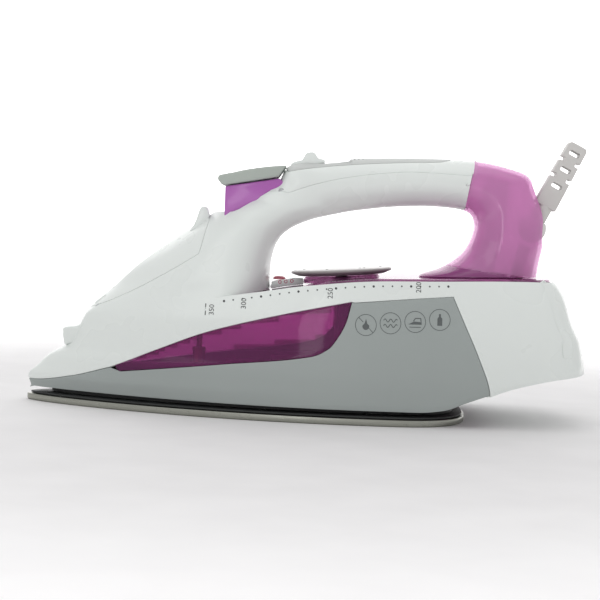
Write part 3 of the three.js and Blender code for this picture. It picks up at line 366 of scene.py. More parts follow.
def walled(bm, thickness, edge=0.25, leave=None):
    """Gives a skin its wall, inwards, and rounds the edges of the wall."""
    obj = temporary(bm)
    wall = obj.modifiers.new("wall", "SOLIDIFY")
    wall.thickness = thickness * MM
    wall.offset = -1
    wall.use_even_offset = False
    wall.thickness_clamp = 0
    wall.edge_crease_outer = 1
    bm = applied(obj)
    crease = bm.edges.layers.float.get("crease_edge")
    if edge and crease:
        edges = [e for e in bm.edges if e[crease] > 0.5 and len(e.link_faces) == 2
                 and not (leave and leave((e.verts[0].co + e.verts[1].co) / 2))]
        round_edges(bm, edges, edge)
        bm.edges.layers.float.remove(bm.edges.layers.float["crease_edge"])
    return bm


def cut(bm, *cutters):
    """Takes the cutters' solids out of a closed mesh."""
    obj = temporary(bm)
    tools = [temporary(c) for c in cutters]
    for tool in tools:
        step = obj.modifiers.new("cut", "BOOLEAN")
        step.operation = "DIFFERENCE"
        step.solver = "EXACT"
        step.object = tool
    bm = applied(obj)
    for tool in tools:
        bpy.data.objects.remove(tool)
    return bm


# ---------------------------------------------------------------- finishes
def shade(colour):
    """An 8-bit screen colour as scene light."""
    return tuple((c / 255 / 12.92 if c <= 10 else ((c / 255 + 0.055) / 1.055) ** 2.4) for c in colour) + (1.0,)


def blank(name):
    mat = bpy.data.materials.new(name)
    mat.use_nodes = True
    nodes, links = mat.node_tree.nodes, mat.node_tree.links
    return mat, nodes, links, nodes["Principled BSDF"], nodes.new("ShaderNodeTexCoord").outputs["Object"]


def noise(nodes, links, where, scale, detail=2.0, stretch=None):
    tex = nodes.new("ShaderNodeTexNoise")
    tex.inputs["Scale"].default_value = scale
    tex.inputs["Detail"].default_value = detail
    if stretch:
        fit = nodes.new("ShaderNodeMapping")
        fit.inputs["Scale"].default_value = stretch
        links.new(where, fit.inputs["Vector"])
        where = fit.outputs["Vector"]
    links.new(where, tex.inputs["Vector"])
    return tex.outputs["Fac"]


def ramp(nodes, links, fac, *stops):
    out = nodes.new("ShaderNodeValToRGB")
    out.color_ramp.elements[0].position, out.color_ramp.elements[0].color = stops[0]
    out.color_ramp.elements[1].position, out.color_ramp.elements[1].color = stops[-1]
    for position, colour in stops[1:-1]:
        out.color_ramp.elements.new(position).color = colour
    links.new(fac, out.inputs["Fac"])
    return out.outputs["Color"]


def ranged(nodes, links, fac, low, high):
    out = nodes.new("ShaderNodeMapRange")
    out.inputs["From Min"].default_value, out.inputs["From Max"].default_value = 0.3, 0.7
    out.inputs["To Min"].default_value, out.inputs["To Max"].default_value = low, high
    links.new(fac, out.inputs["Value"])
    return out.outputs["Result"]


def dented(nodes, links, shader, height, strength, distance):
    bump = nodes.new("ShaderNodeBump")
    bump.inputs["Strength"].default_value = strength
    bump.inputs["Distance"].default_value = distance * MM
    links.new(height, bump.inputs["Height"])
    links.new(bump.outputs["Normal"], shader.inputs["Normal"])


def moulded(name, colour, rough, grain=1500, depth=0.02, coat=0.0, vary=0.03):
    """Moulded plastic: a faint cloudiness, a fine skin and slightly uneven gloss."""
    mat, nodes, links, shader, where = blank(name)
    cloud = noise(nodes, links, where, 9, 2)
    dark = tuple(c * (1 - vary) for c in shade(colour)[:3]) + (1,)
    light = tuple(min(1, c * (1 + vary)) for c in shade(colour)[:3]) + (1,)
    links.new(ramp(nodes, links, cloud, (0.3, dark), (0.7, light)), shader.inputs["Base Color"])
    links.new(ranged(nodes, links, noise(nodes, links, where, 40, 2), rough * 0.93, rough * 1.07),
              shader.inputs["Roughness"])
    dented(nodes, links, shader, noise(nodes, links, where, grain, 2), 0.35, depth)
    shader.inputs["Coat Weight"].default_value = coat
    shader.inputs["Coat Roughness"].default_value = 0.08
    return mat


def brushed(name, colour, rough, along_axis=(30, 1500, 1500), depth=0.01):
    """Metal with fine brushing along one axis."""
    mat, nodes, links, shader, where = blank(name)
    hair = noise(nodes, links, where, 1, 4, along_axis)
    dark = tuple(c * 0.93 for c in shade(colour)[:3]) + (1,)
    links.new(ramp(nodes, links, hair, (0.3, dark), (0.7, shade(colour))), shader.inputs["Base Color"])
    links.new(ranged(nodes, links, hair, rough * 0.8, rough * 1.25), shader.inputs["Roughness"])
    shader.inputs["Metallic"].default_value = 1.0
    dented(nodes, links, shader, hair, 0.3, depth)
    return mat


def see_through(name, body, tint, clear, rough=0.06):
    """Tinted clear plastic: part of the light goes straight through, the rest meets a glossy coloured skin."""
    mat, nodes, links, shader, where = blank(name)
    cloud = noise(nodes, links, where, 26, 2)
    dark = tuple(c * 0.88 for c in shade(body)[:3]) + (1,)
    links.new(ramp(nodes, links, cloud, (0.3, dark), (0.7, shade(body))), shader.inputs["Base Color"])
    links.new(ranged(nodes, links, noise(nodes, links, where, 120, 2), rough * 0.7, rough * 1.4),
              shader.inputs["Roughness"])
    dented(nodes, links, shader, noise(nodes, links, where, 60, 2), 0.15, 0.05)
    shader.inputs["IOR"].default_value = 1.5
    shader.inputs["Coat Weight"].default_value = 0.5
    shader.inputs["Coat Roughness"].default_value = 0.03
    through = nodes.new("ShaderNodeBsdfTransparent")
    through.inputs["Color"].default_value = shade(tint)
    both = nodes.new("ShaderNodeMixShader")
    both.inputs["Fac"].default_value = clear
    links.new(shader.outputs["BSDF"], both.inputs[1])
    links.new(through.outputs["BSDF"], both.inputs[2])
    links.new(both.outputs["Shader"], nodes["Material Output"].inputs["Surface"])
    return mat


white = moulded("gloss_white_shell", (232, 237, 234), 0.28, 900, 0.0003, coat=0.3, vary=0.003)
grey = moulded("satin_grey_skirt", (160, 167, 165), 0.4, grain=2600, depth=0.03, vary=0.03)
cap_grey = moulded("button_cap_grey", (176, 184, 177), 0.5, grain=2200, depth=0.05, vary=0.03)
grip_grey = moulded("soft_grip", (204, 207, 205), 0.55, grain=2600, depth=0.06, vary=0.02)
pale = moulded("pale_trim", (214, 213, 210), 0.42, vary=0.02)
dial_grey = moulded("dial_edge", (168, 164, 163), 0.38, vary=0.03)
dial_top = moulded("dial_face", (226, 224, 222), 0.32, coat=0.2, vary=0.015)
violet = moulded("violet_button", (176, 96, 180), 0.22, coat=0.4, vary=0.04)
black = moulded("heat_black", (38, 40, 40), 0.55, grain=1800, depth=0.05, vary=0.15)
rubber = moulded("seal_rubber", (60, 60, 64), 0.75, vary=0.08)
guard_plastic = moulded("cord_guard_plastic", (208, 206, 203), 0.5, vary=0.02)
ink = moulded("printed_ink", (66, 68, 70), 0.5, vary=0.05)
icon_ink = moulded("panel_ink", (92, 97, 97), 0.5, vary=0.05)
pink_ink = moulded("pink_ink", (196, 104, 128), 0.4, vary=0.05)
steel = brushed("sole_steel", (166, 167, 158), 0.32)
fixing_steel = brushed("fixing_steel", (176, 178, 180), 0.28, (900, 900, 300))
aluminium = brushed("cast_aluminium", (170, 172, 174), 0.5, (400, 400, 400), 0.04)
brass = brushed("brass_fitting", (190, 158, 92), 0.32, (900, 900, 200))
tank_purple = see_through("tank_purple", (140, 64, 124), (236, 188, 224), 0.7)
cover_purple = see_through("cover_purple", (150, 78, 132), (232, 182, 218), 0.42)
foot_purple = see_through("foot_purple", (168, 88, 152), (232, 182, 218), 0.35)
leg_lilac = see_through("leg_lilac", (228, 158, 212), (248, 214, 240), 0.45)
lens_pink = see_through("lens_pink", (176, 96, 112), (236, 180, 190), 0.35)
wire_colours = {"live_wire": moulded("wire_brown", (112, 66, 40), 0.45),
                "neutral_wire": moulded("wire_blue", (44, 92, 160), 0.45),
                "earth_wire": moulded("wire_green_yellow", (120, 160, 50), 0.45)}

# ---------------------------------------------------------------- carried-over parts and their finishes
by_slot = {"steel": fixing_steel, "aluminium": aluminium, "black": black, "grey": grey, "white": white,
           "purple": cover_purple, "lilac": leg_lilac, "button": violet, "light_grey": cap_grey, "strip": pale,
           "rubber": rubber, "brass": brass, "lens": lens_pink, "cable": rubber}
slot_of = {part["node"]: part["material_slot"] for part in frame["record"]["subparts"]}
for node_name, node in frame["nodes"].items():
    finish = wire_colours.get(node_name) or by_slot.get(slot_of.get(node_name), pale)
    node.data.materials.clear()
    node.data.materials.append(finish)


# ---------------------------------------------------------------- body skins
def make_skirt():
    high = chain(along(skirt_front, 0, 46.3, 40, -SEAM), [(50.7, 19.2 - SEAM)], along(window_low, 50.7, 168, 90, -SEAM),
                 along(skirt_back, 168, 220.3, 36, -SEAM))
    low = chain(along(underside, 0, 44, 40), [(47, underside(47))], along(underside, 47, 168, 90),
                along(underside, 168, 239.6, 36))
    bm = bmesh.new()
    (x0, z0), (x1, z1) = low[-1], high[-1]

    def place(u, z, x):
        if x > 168:   # the last rungs bend with the rear edge
            chord_x = mix(x0, x1, (z - z0) / (z1 - z0))
            x = 168 + (x - 168) * (rear_line(z) - SEAM - 168) / (chord_x - 168)
            return on_hull(share_along(x, z), z)
        return on_side(u, z, x)
    skin(bm, place, hull_places(low), hull_places(high), 16)
    closed(bm)
    piece("skirt_panel", walled(bm, WALL), grey, "iron", "grey", "skirt")


SPLIT = 3.6                       # station where the column meets the handle
lid_edge = along(flowing([(33.4, 50.3), (44.7, 54.9), (58.4, 61.7), (76.8, 72.4), (89.5, 80.5)]), 33.4, 89.5, 46)
lid_back = even([(89.5, 80.5), (90.6, 84.6), (91.4, 88.7), (92.9, 95.5), (93.9, 101.2)], 24)
heel_rows = [math.radians(90 * i / 16) for i in range(17)]


def heel_zone(z_of, start_u):
    out = []
    for angle in heel_rows:
        u = 0.93 + 0.07 * math.sin(angle) ** (2 / 3) if angle > 0 else start_u
        z = 60.0
        for _ in range(12):
            z = z_of(on_hull(u, z)[0])
        out.append((u, z, on_hull(u, z)[0]))
    return out


def make_body():
    bm = bmesh.new()
    front_x = [mix(28.9, 101, (i / 44) ** 1.15) for i in range(45)]
    top_front = [(x, rim(x)) for x in front_x]
    high = chain(top_front, along(rim, 101, 168, 50), along(rim, 168, 222, 36), along(rim, 222, 258, 40),
                 along(rim, 258, 270.2, 6))
    rear = [(rear_line(z) + SEAM, z) for z in [mix(64.5 + SEAM, 15.9, i / 40) for i in range(41)]]
    low = chain(along(skirt_front, 0, 46.3, 43, SEAM), [(48.4, 22 + SEAM)], along(window_high, 48.8, 168, 50, SEAM),
                along(skirt_back, 168, 218.3 + SEAM, 36, SEAM), rear, along(underside, 238.1, 271, 6))
    low, high = hull_places(low), hull_places(high)
    low[0], high[0] = (0.0, *low[0][1:]), (0.0, *high[0][1:])
    low += heel_zone(underside, 0.931)[1:]
    high += heel_zone(rim, 0.931)[1:]
    skin(bm, on_side, low, high, 18)

    foot = top_front + [(mix(101, 126, t), rim(mix(101, 126, t)) - 0.6 * eased(t * 4)) for t in
                        [math.sin(math.pi / 2 * i / 18) for i in range(1, 19)]]
    foot = bow_places(foot, 1.0, True)
    foot[-1] = (foot[-1][0], 180.0)
    edge = bow_places(even([(x, z - SEAM) for x, z in lid_edge[:-1]] + [(89.5 + SEAM, 80.5 - SEAM)], 40), 1.0, True)
    meet = edge.pop()[1]
    upper = edge + [(SPLIT, mix(meet, 180, i / 22)) for i in range(23)]
    skin(bm, on_bow, foot, upper, 22)
    closed(bm)
    split_z = on_bow(SPLIT, 90)[2]

    def at_split(p):
        return abs(p.z / MM - split_z) < 2 and p.x / MM + MIDDLE > 90.5
    bm = walled(bm, WALL, leave=at_split)

    floor = bmesh.new()
    made = bmesh.ops.create_grid(floor, x_segments=30, y_segments=24, size=1)["verts"]
    for v in made:
        x = mix(236.6, 287.4, (v.co.x + 1) / 2)
        z = underside(x) + 0.1
        v.co = metres(x, v.co.y * (hull_y(x, z, 1.4)), z)
    floor = walled_up(floor, WALL)
    joined(bm, floor)
    window = bmesh.new()
    box(window, 276, 300, -27, 27, 33, 66, 3.0, 3)
    piece("body_shell_skin", cut(bm, window), white, "iron", "white", "body_shell")


def walled_up(bm, thickness):
    faces = list(bm.faces)
    for f in faces:
        f.normal_update()
    if sum(f.normal.z for f in faces) > 0:
        bmesh.ops.reverse_faces(bm, faces=faces)
    return walled(bm, thickness, 0)


def joined(bm, other):
    mesh = bpy.data.meshes.new("joining")
    other.to_mesh(mesh)
    other.free()
    bm.from_mesh(mesh)
    bpy.data.meshes.remove(mesh)


def leg_start(angle):
    """Station where the leg's cover begins."""
    return 15.48 + 0.16 * eased((angle - 90) / 90)


def make_handle():
    seam = flowing([(134.5, 113.5), (145.5, 117.7), (162.5, 122.2), (186.1, 125.8), (199.3, 126.7), (227.4, 125.9)])
    strip = flowing([(133.9, 124.6), (142.5, 126.3), (159, 128.6), (175.6, 130.2), (195.4, 131.6), (212.1, 132.5),
                     (218.6, 134.1)])
    bm = bmesh.new()
    lid_part = [(SPLIT, bow_place(89.5 + SEAM, 80.5, SPLIT)[1])] + bow_places(
        [(x + SEAM, z) for x, z in lid_back if z > 80.9], SPLIT)
    lid_part[-1] = (lid_part[-1][0], 0.0)
    slot = bow_places([(109, 104.2), (112, 106.1), (115, 108), (118, 109.9), (121.5, 112.2), (124.5, 114.2)], 6.9)
    opening = [(mix(6.3, 6.5, i / 12), mix(0, 44, i / 12)) for i in range(12)] + even(
        [(6.5, 44), (6.64, 48)] + slot, 24)
    below_crease = [(mix(slot[-1][0], 8.87, i / 12), mix(slot[-1][1], bow_place(134.5, 113.5, 8.9)[1], i / 12))
                    for i in range(13)]
    crease = bow_places(along(seam, 134.5, 229.5, 72, -SEAM / 2), 8.9)
    between = [(mix(lid_part[-1][0], opening[0][0], i / 3), 0.0) for i in range(4)]
    front = chain(lid_part, between, opening, below_crease, crease)
    start = len(lid_part) - 1
    marks = [(0, SPLIT), (start, 5.7), (start + 3, 5.95), (start + 15, 6.2), (start + 39, 8.1), (start + 51, 8.6),
             (len(front) - 1, 15.8)]
    back = []
    for (i0, s0), (i1, s1) in zip(marks, marks[1:]):
        back += [(mix(s0, s1, (i - i0) / (i1 - i0)), 180.0) for i in range(i0, i1)]
    back.append((15.8, 180.0))
    skin(bm, lambda s, a: on_bow(min(s, leg_start(a) - 0.015), a), front, back, 34, bend=4)
    closed(bm)
    split_z = on_bow(SPLIT, 90)[2]

    def at_split(p):
        return abs(p.z / MM - split_z) < 2 and p.x / MM + MIDDLE > 90.5
    piece("handle_shell_skin", walled(bm, WALL, leave=at_split), white, "iron", "white", "handle_shell")

    # the upper half of the grip, between the crease and the soft strip
    outer = chain([(mix(slot[-1][0], 8.87, i / 16) + 0.02, mix(slot[-1][1], below_crease[-1][1], i / 16))
                   for i in range(17)],
                  bow_places(along(seam, 134.5, 229.5, 72, SEAM / 2), 8.9))
    edge_line = bow_places(along(strip, 133.9, 218.4, 56, -SEAM), 9.8)
    start = chain(bow_places([(124.7, 114.5), (125.8, 115.1), (126.6, 115.8), (127.4, 116.8), (128.0, 117.8)], 8.7),
                  [(mix(9.03, 9.66, i / 6), 0.0) for i in range(7)],
                  [(mix(9.66, edge_line[0][0], i / 6), mix(0, edge_line[0][1], i / 6)) for i in range(7)])
    tip = edge_line[-1]
    count = len(outer) - len(start) - len(edge_line) + 1
    wrap = [(mix(tip[0], 15.8, i / count), mix(tip[1], 0, eased(i / count * 2.4))) for i in range(count + 1)]
    inner = chain(start, edge_line, wrap)
    bm = bmesh.new()
    skin(bm, lambda s, a: on_bow(min(s, leg_start(a) - 0.015), a), inner, outer[:len(inner)], 14, bend=0.35)
    closed(bm)
    piece("handle_top_skin", walled(bm, WALL), white, "iron", "white", "handle_top")

    # soft strip with the slider's slot
    bm = bmesh.new()
    edge_line = bow_places(along(strip, 133.9, 218.3, 62, SEAM), 10)
    centre = []
    for s, angle in edge_line:
        x = on_bow(s, 0)[0]
        half = chord(s)[4]
        slot_angle = math.degrees(math.asin(7.5 / half))
        centre.append((s, min(angle - 1, slot_angle) if x < 165.5 else 0.0))
    skin(bm, on_bow, edge_line, centre, 10)
    closed(bm)
    bm = walled(bm, 1.6, 0.3)
    outline_solid(bm, [(132.8, 125.2), (132.8, 126.2), (165.2, 131.3), (166.5, 131.9), (166.5, 129)], -7.9, 7.9)
    for i in range(3):
        x = 167.5 + 2.2 * i
        box(bm, x, x + 1.1, -4.2, 4.2, 131.6, 132.95 + 0.12 * i, 0.3)
    piece("soft_grip_strip", bm, grip_grey, "iron", "strip", "grip_insert")


def make_lid():
    bm = bmesh.new()
    outer = [(x, z + SEAM) for x, z in lid_edge[:-1]] + [(x - SEAM, z) for x, z in lid_back]
    outer = bow_places(outer, 1.0, True)
    outer[-1] = (outer[-1][0], 0.0)
    top = outer[-1][0]
    first = outer[0][0]
    count = len(outer) - 1
    centre = [(mix(first, top, i / count), 0.0) for i in range(count + 1)]
    skin(bm, on_bow, centre, outer, 14)
    closed(bm)
    bm = walled(bm, WALL)
    tab = even([(83.2, 91.6), (85.2, 95), (86.6, 98.4), (87.6, 102), (88.4, 104.2), (89.6, 105.2), (91.2, 105.1), (92.4, 104),
                (92.9, 101.8), (93.3, 99.8), (92.6, 96), (91.6, 93.6)], 22)
    outline_solid(bm, tab, -6, 6, 0.9, 3)
    lug = [(34.9, 49), (34.6, 52.6), (40, 57), (40.4, 54), (39.2, 49.4)]
    outline_solid(bm, lug, -3.5, 3.5, 0.4)
    piece("filler_lid_skin", bm, white, "filler_lid", "white", "filler_lid")


def make_nozzle():
    bm = bmesh.new()
    outline_solid(bm, [(19.4, 29.6), (18.9, 33), (18.2, 38.6), (20.4, 39.2), (25.4, 39.9), (34, 44), (34, 34)], -5, 5, 1.0, 3)
    turned(bm, [(1.9, 0.0), (1.9, 0.5), (1.3, 0.7), (0.7, 0.5), (0.6, -0.2), (0, -0.2)], metres(18.75, 0, 34.6),
           (-1, 0, -0.1), 20)
    piece("spray_nozzle_cap", bm, [white], "iron", "white", "spray_nozzle")


# ---------------------------------------------------------------- tank, cover and dial
COVER_SINK = 0.9


def cover_height(x):
    return rim(x) - COVER_SINK + (COVER_SINK + 1) * eased((x - 145) / 13.4)


def make_tank():
    low = along(window_low, 50.7 + SEAM, 168 - SEAM, 90, SEAM)
    high = along(window_high, 48.9 + SEAM, 168 - SEAM, 90, -SEAM)
    bm = bmesh.new()
    skin(bm, lambda u, z, x: on_hull(u, z, 0.5), hull_places(low, 0.5), hull_places(high, 0.5), 14)
    bm = walled(bm, 2.0, 0.5)
    inside = bmesh.new()
    count = 60
    for side in (-1, 1):
        made = bmesh.ops.create_grid(inside, x_segments=count + 4, y_segments=12, size=1)["verts"]
        for v in made:
            i, t = round((v.co.x + 1) / 2 * (count + 4)), (v.co.y + 1) / 2
            x = mix(48.2, 241.8, min(max((i - 2) / count, 0), 1))
            z = mix(27, rim(x) - 4.6, t)
            y = hull_y(x, z, 2.5) * (min(1, i / 2) if i < 2 else min(1, (count + 4 - i) / 2))
            v.co = metres(x, side * y, z)
        faces = list({f for v in made for f in v.link_faces})
        for f in faces:
            f.normal_update()
        if sum(f.normal.y * side for f in faces) < 0:
            bmesh.ops.reverse_faces(inside, faces=faces)
    bmesh.ops.remove_doubles(inside, verts=inside.verts, dist=2e-5)
    behind = []
    for f in inside.faces:
        middle = f.calc_center_median() / MM
        x, z = middle.x + MIDDLE, middle.z
        if 54 < x < 166 and window_low(x) + 1.5 < z < window_high(x) - 1.5 and abs(middle.y) > 8:
            behind.append(f)
    bmesh.ops.delete(inside, geom=behind, context="FACES")
    rims = [e for e in inside.edges if e.is_boundary and (e.verts[0].co.z + e.verts[1].co.z) / 2 < 0.0271]
    bmesh.ops.holes_fill(inside, edges=rims, sides=0)
    joined(bm, walled(inside, 2.0, 0))
    piece("water_tank_clear", bm, tank_purple, "iron", "purple", "water_tank")


def make_cover():
    bm = bmesh.new()
    made = bmesh.ops.create_grid(bm, x_segments=150, y_segments=40, size=1)["verts"]
    for v in made:
        x = mix(50, 271.5, 1 - (1 - (v.co.x + 1) / 2) ** 1.5)
        across = math.sin(v.co.y * math.pi / 2)
        z = cover_height(x)
        half = hull_y(x, z, 2.5)
        edge = 1 - eased((1 - abs(across)) * half / 1.6)
        v.co = metres(x, across * half, z - 0.8 * edge)
    for f in bm.faces:
        f.normal_update()
    if sum(f.normal.z for f in bm.faces) < 0:
        bmesh.ops.reverse_faces(bm, faces=bm.faces)
    bm = walled(bm, 2.0, 0)
    turned(bm, [(14, -6.6), (20, -6.6), (20, -4.6), (19.6, -3.8), (18.8, -3.5), (14, -3.5)], metres(163.4, 0, 75),
           DIAL_AXIS, 72)
    piece("tank_cover_clear", bm, cover_purple, "iron", "purple", "tank_cover")


PITCH = math.radians(4.4)
DIAL_AXIS = (-math.sin(PITCH), 0, math.cos(PITCH))


def make_dial():
    centre = metres(163.4, 0, 75)
    bm = bmesh.new()
    turned(bm, [(0, -3.0), (21.6, -3.0), (22.6, -2.85), (25.7, -1.7), (26.35, -1.3), (26.5, -0.9), (26.45, -0.45),
                (26.1, -0.15), (25.4, 0.05), (24.6, 0.1), (24.2, 0.02), (23.9, -0.05), (23.5, 0.05), (23.1, 0.3), (20.5, 0.62),
                (12, 1.0), (5, 1.18), (0, 1.2)], centre, DIAL_AXIS, 96)
    for f in bm.faces:
        away = ((f.calc_center_median() - centre) - Vector(DIAL_AXIS) * (f.calc_center_median() - centre).dot(
            Vector(DIAL_AXIS))).length / MM
        f.material_index = 1 if away < 23.8 and f.normal.z > 0.5 else 0
    turn = Vector((0, 0, 1)).rotation_difference(Vector(DIAL_AXIS)).to_matrix()
    for k in range(4):               # dots, one to three, and a stop mark round the dial's face
        for dot in range(max(1, k)):
            angle = math.radians(200 + 48 * k + 7 * dot)
            place = centre + turn @ Vector((20.6 * MM * math.cos(angle), 20.6 * MM * math.sin(angle), 0.6 * MM))
            before = set(bm.faces)
            turned(bm, [(0.75, -0.1), (0.75, 0.04), (0, 0.06)], place, DIAL_AXIS, 14)
            for f in set(bm.faces) - before:
                f.material_index = 2
    piece("temperature_dial_disc", bm, [dial_grey, dial_top, ink], "temperature_dial", "strip", "temperature_dial")

    bm = bmesh.new()
    top = [(143.6, 69.2), (138.3, 69.4), (127, 67.2)]
    foot = [(127, cover_height(127) + 0.4), (134, cover_height(134) + 0.5), (143.6, cover_height(143.6) + 0.4)]
    outline_solid(bm, foot + top, -7, 7, 0.45, 3)
    for f in bm.faces:
        f.material_index = 0
    for side in (-1, 1):
        for k in range(3):
            before = set(bm.faces)
            turned(bm, [(0.95, -0.1), (0.95, 0.05), (0.55, 0.05), (0.55, -0.1)],
                   metres(131.4 + 3.1 * k, side * 7.0, 67.1 + 0.35 * k), (0, side, 0), 20)
            for f in set(bm.faces) - before:
                f.material_index = 1
    piece("dial_pointer_block", bm, [white, pink_ink], "iron", "white", "pointer_block")
    bm = bmesh.new()
    low = 67.2 + 4 * 2.2 / 11.3 + 0.3
    turned(bm, [(0, low), (3.3, low), (3.35, low + 0.5), (3.0, low + 1.2), (2.1, low + 1.65), (0, low + 1.85)],
           metres(131, 0, 0), (0, 0, 1), 32)
    piece("pilot_lens_dome", bm, lens_pink, "iron", "lens", "pilot_lens")


# ---------------------------------------------------------------- leg
def make_leg():
    first = [(leg_start(a) + 0.015, a) for a in [180 * i / 48 for i in range(49)]]
    foot = []
    for s, a in first:
        low, high = 20.5, float(LAST)
        for _ in range(30):
            m = (low + high) / 2
            x, _, z = on_bow(m, a)
            low, high = (m, high) if z > cover_height(x) + 0.35 else (low, m)
        foot.append((low, a))
    bm = bmesh.new()
    # rungs run from the grip to the foot; the rear is open where the cord guard swings
    rows = 150
    for side in (-1, 1):
        made = bmesh.ops.create_grid(bm, x_segments=48, y_segments=rows, size=1)["verts"]
        for v in made:
            i, t = round((v.co.x + 1) / 2 * 48), (v.co.y + 1) / 2
            s, a = mix(first[i][0], foot[i][0], t), first[i][1]
            x, y, z = on_bow(s, a)
            line = 78.8 - (x - 219.8) * 0.124
            if abs(z - line) < 0.28:
                x, y, z = on_bow(s, a, 0.4)
            v.co = metres(x, side * y, z)
        faces = list({f for v in made for f in v.link_faces})
        for f in faces:
            f.normal_update()
        if sum(f.normal.y * side * f.calc_area() for f in faces) < 0:
            bmesh.ops.reverse_faces(bm, faces=faces)
    closed(bm)
    bm = walled(bm, WALL, 0.25)
    opening = bmesh.new()
    outline_solid(opening, [(256.5, 92), (256.5, 108), (262, 127), (290, 127), (290, 92)], -7, 7, 2.0, 3)
    bm = cut(bm, opening)
    for f in bm.faces:
        middle = f.calc_center_median() / MM
        f.material_index = 1 if middle.z < 78.8 - (middle.x + MIDDLE - 219.8) * 0.124 else 0
    piece("rear_leg_cover", bm, [leg_lilac, foot_purple], "iron", "lilac", "rear_cover")


# ---------------------------------------------------------------- controls
def make_buttons():
    lever = even([(101.4, 99.4), (101.4, 98.9), (102.2, 98.1), (104.5, 96.9), (127.6, 109.5), (133.4, 111.5), (133.5, 117.5),
                  (129.2, 120.9), (101.4, 115.9), (101.4, 99.4)], 60)[:-1]
    lever = [(101.4, 98.5), (104.5, 96.8), (127.6, 109.5), (133.5, 111.5), (133.5, 117.5), (129.2, 120.9), (101.4, 115.9)]
    cap = [(99.9, 116.2), (114, 118.8), (128.7, 121.6), (132.8, 127.7), (122.8, 126.7), (112, 124.8), (104.6, 122.9), (98, 121.5),
           (97.2, 119.5)]
    for name, side in (("spray", -1), ("steam", 1)):
        bm = bmesh.new()
        y0, y1 = sorted((side * 0.4, side * 13.0))
        outline_solid(bm, lever, y0, y1, 0.8, 3)
        piece(name + "_button_lever", bm, violet, name + "_button", "button", name + "_button")
        bm = bmesh.new()
        y0, y1 = sorted((side * 0.4, side * 14.8))
        outline_solid(bm, cap, y0, y1, 1.1, 3)
        for k in range(5):
            x = 102.5 + 3.6 * k
            z = 122.2 + (x - 102.5) * 0.235
            a, b = sorted((side * 2.4, side * 12.2))
            box(bm, x, x + 1.3, a, b, z - 1, z + 0.55, 0.3)
        piece(name + "_button_pad", bm, cap_grey, name + "_button", "light_grey", name + "_button_cap")

    bm = bmesh.new()
    lift = 126.8
    outline = [(134.8, 0), (152.6, 0), (152.6, 1.6), (151.2, 2.2), (149.3, 2.7), (148.2, 4.2), (147.2, 5.9), (146, 6.5), (143.4, 6.6),
               (142.2, 6.1), (141.4, 4.2), (140.6, 3.1), (138, 2.8), (136, 2.5), (134.8, 1.6)]
    outline_solid(bm, [(x, lift + 0.16 * (x - 133) + dz) for x, dz in outline], -7, 7, 0.6, 3)
    for k in range(3):
        x = 143.2 + 1.3 * k
        z = lift + 0.16 * (x - 133) + 6.3
        box(bm, x, x + 0.6, -5, 5, z - 0.5, z + 0.55, 0.2)
    piece("steam_slider_knob", bm, white, "steam_slider", "white", "steam_slider")


# ---------------------------------------------------------------- cord outlet
def make_cord_outlet():
    ball = metres(262.8, 0, 100)
    lean = math.radians(26.6)
    axis = Vector((math.sin(lean), 0, math.cos(lean)))
    bm = bmesh.new()
    flat, r = 5.2, 7.5
    sweep = [math.radians(-90 + i * 10) for i in range(14)]
    profile = [(0, -r)] + [(r * math.cos(a), r * math.sin(a)) for a in sweep if r * math.sin(a) < flat and a > -1.5]
    profile += [(math.sqrt(r * r - flat * flat), flat), (0, flat)]
    turned(bm, profile, ball, axis, 40)
    piece("cord_ball_joint", bm, pale, "cord_ball", "strip", "cord_ball")

    end, half = flat + 0.3 + 44, 5.5
    bm = bmesh.new()
    side = [(-half - 0.4, 13), (half + 0.4, 13), (half + 0.1, 30), (half - 0.2, end - 1.2), (half - 1.4, end), (-half + 1.4, end),
            (-half + 0.2, end - 1.2), (-half - 0.1, 30)]
    outline_solid(bm, [(MIDDLE + x, z) for x, z in side], -half + 1, half - 1, 0.7, 2)
    tools = []
    for start in (5.2, 14.7, 24.2):
        tool = bmesh.new()
        box(tool, MIDDLE - 2.9, MIDDLE + 2.9, -20, 20, end - start - 1.3, end - start + 1.3, 0.8, 3)
        tools.append(tool)
    for start in (9.9, 19.4):
        for x0, x1 in ((-20, -3), (3, 20)):
            tool = bmesh.new()
            box(tool, MIDDLE + x0, MIDDLE + x1, -20, 20, end - start - 1.2, end - start + 1.2, 0.7, 2)
            tools.append(tool)
    bm = cut(bm, *tools)
    turned(bm, [(0, flat + 0.3), (4.3, flat + 0.3), (4.5, flat + 0.6), (4.5, 13.4), (0, 13.4)], Vector((0, 0, 0)), (0, 0, 1), 32)
    bmesh.ops.transform(bm, verts=bm.verts, matrix=Matrix.Translation(ball) @ Matrix.Rotation(lean, 4, "Y"))
    piece("cord_guard_ladder", bm, guard_plastic, "cord_guard", "strip", "cord_guard")


# ---------------------------------------------------------------- heel cover
def heel_x(y, z, inset=0.0):
    half = HALF_WIDTH * lean_at(z) - inset
    nose = nose_at(z) + 2 * inset
    u = 1.0
    for _ in range(20):
        front = 1 - 0.17 * ((u - 0.6) / 0.4) ** 1.6
        ratio = min(abs(y) / (half * front), 1)
        u = 0.93 + 0.07 * (1 - ratio ** 3) ** (1 / 3)
    return nose + u * (heel_at(z) - inset - nose)


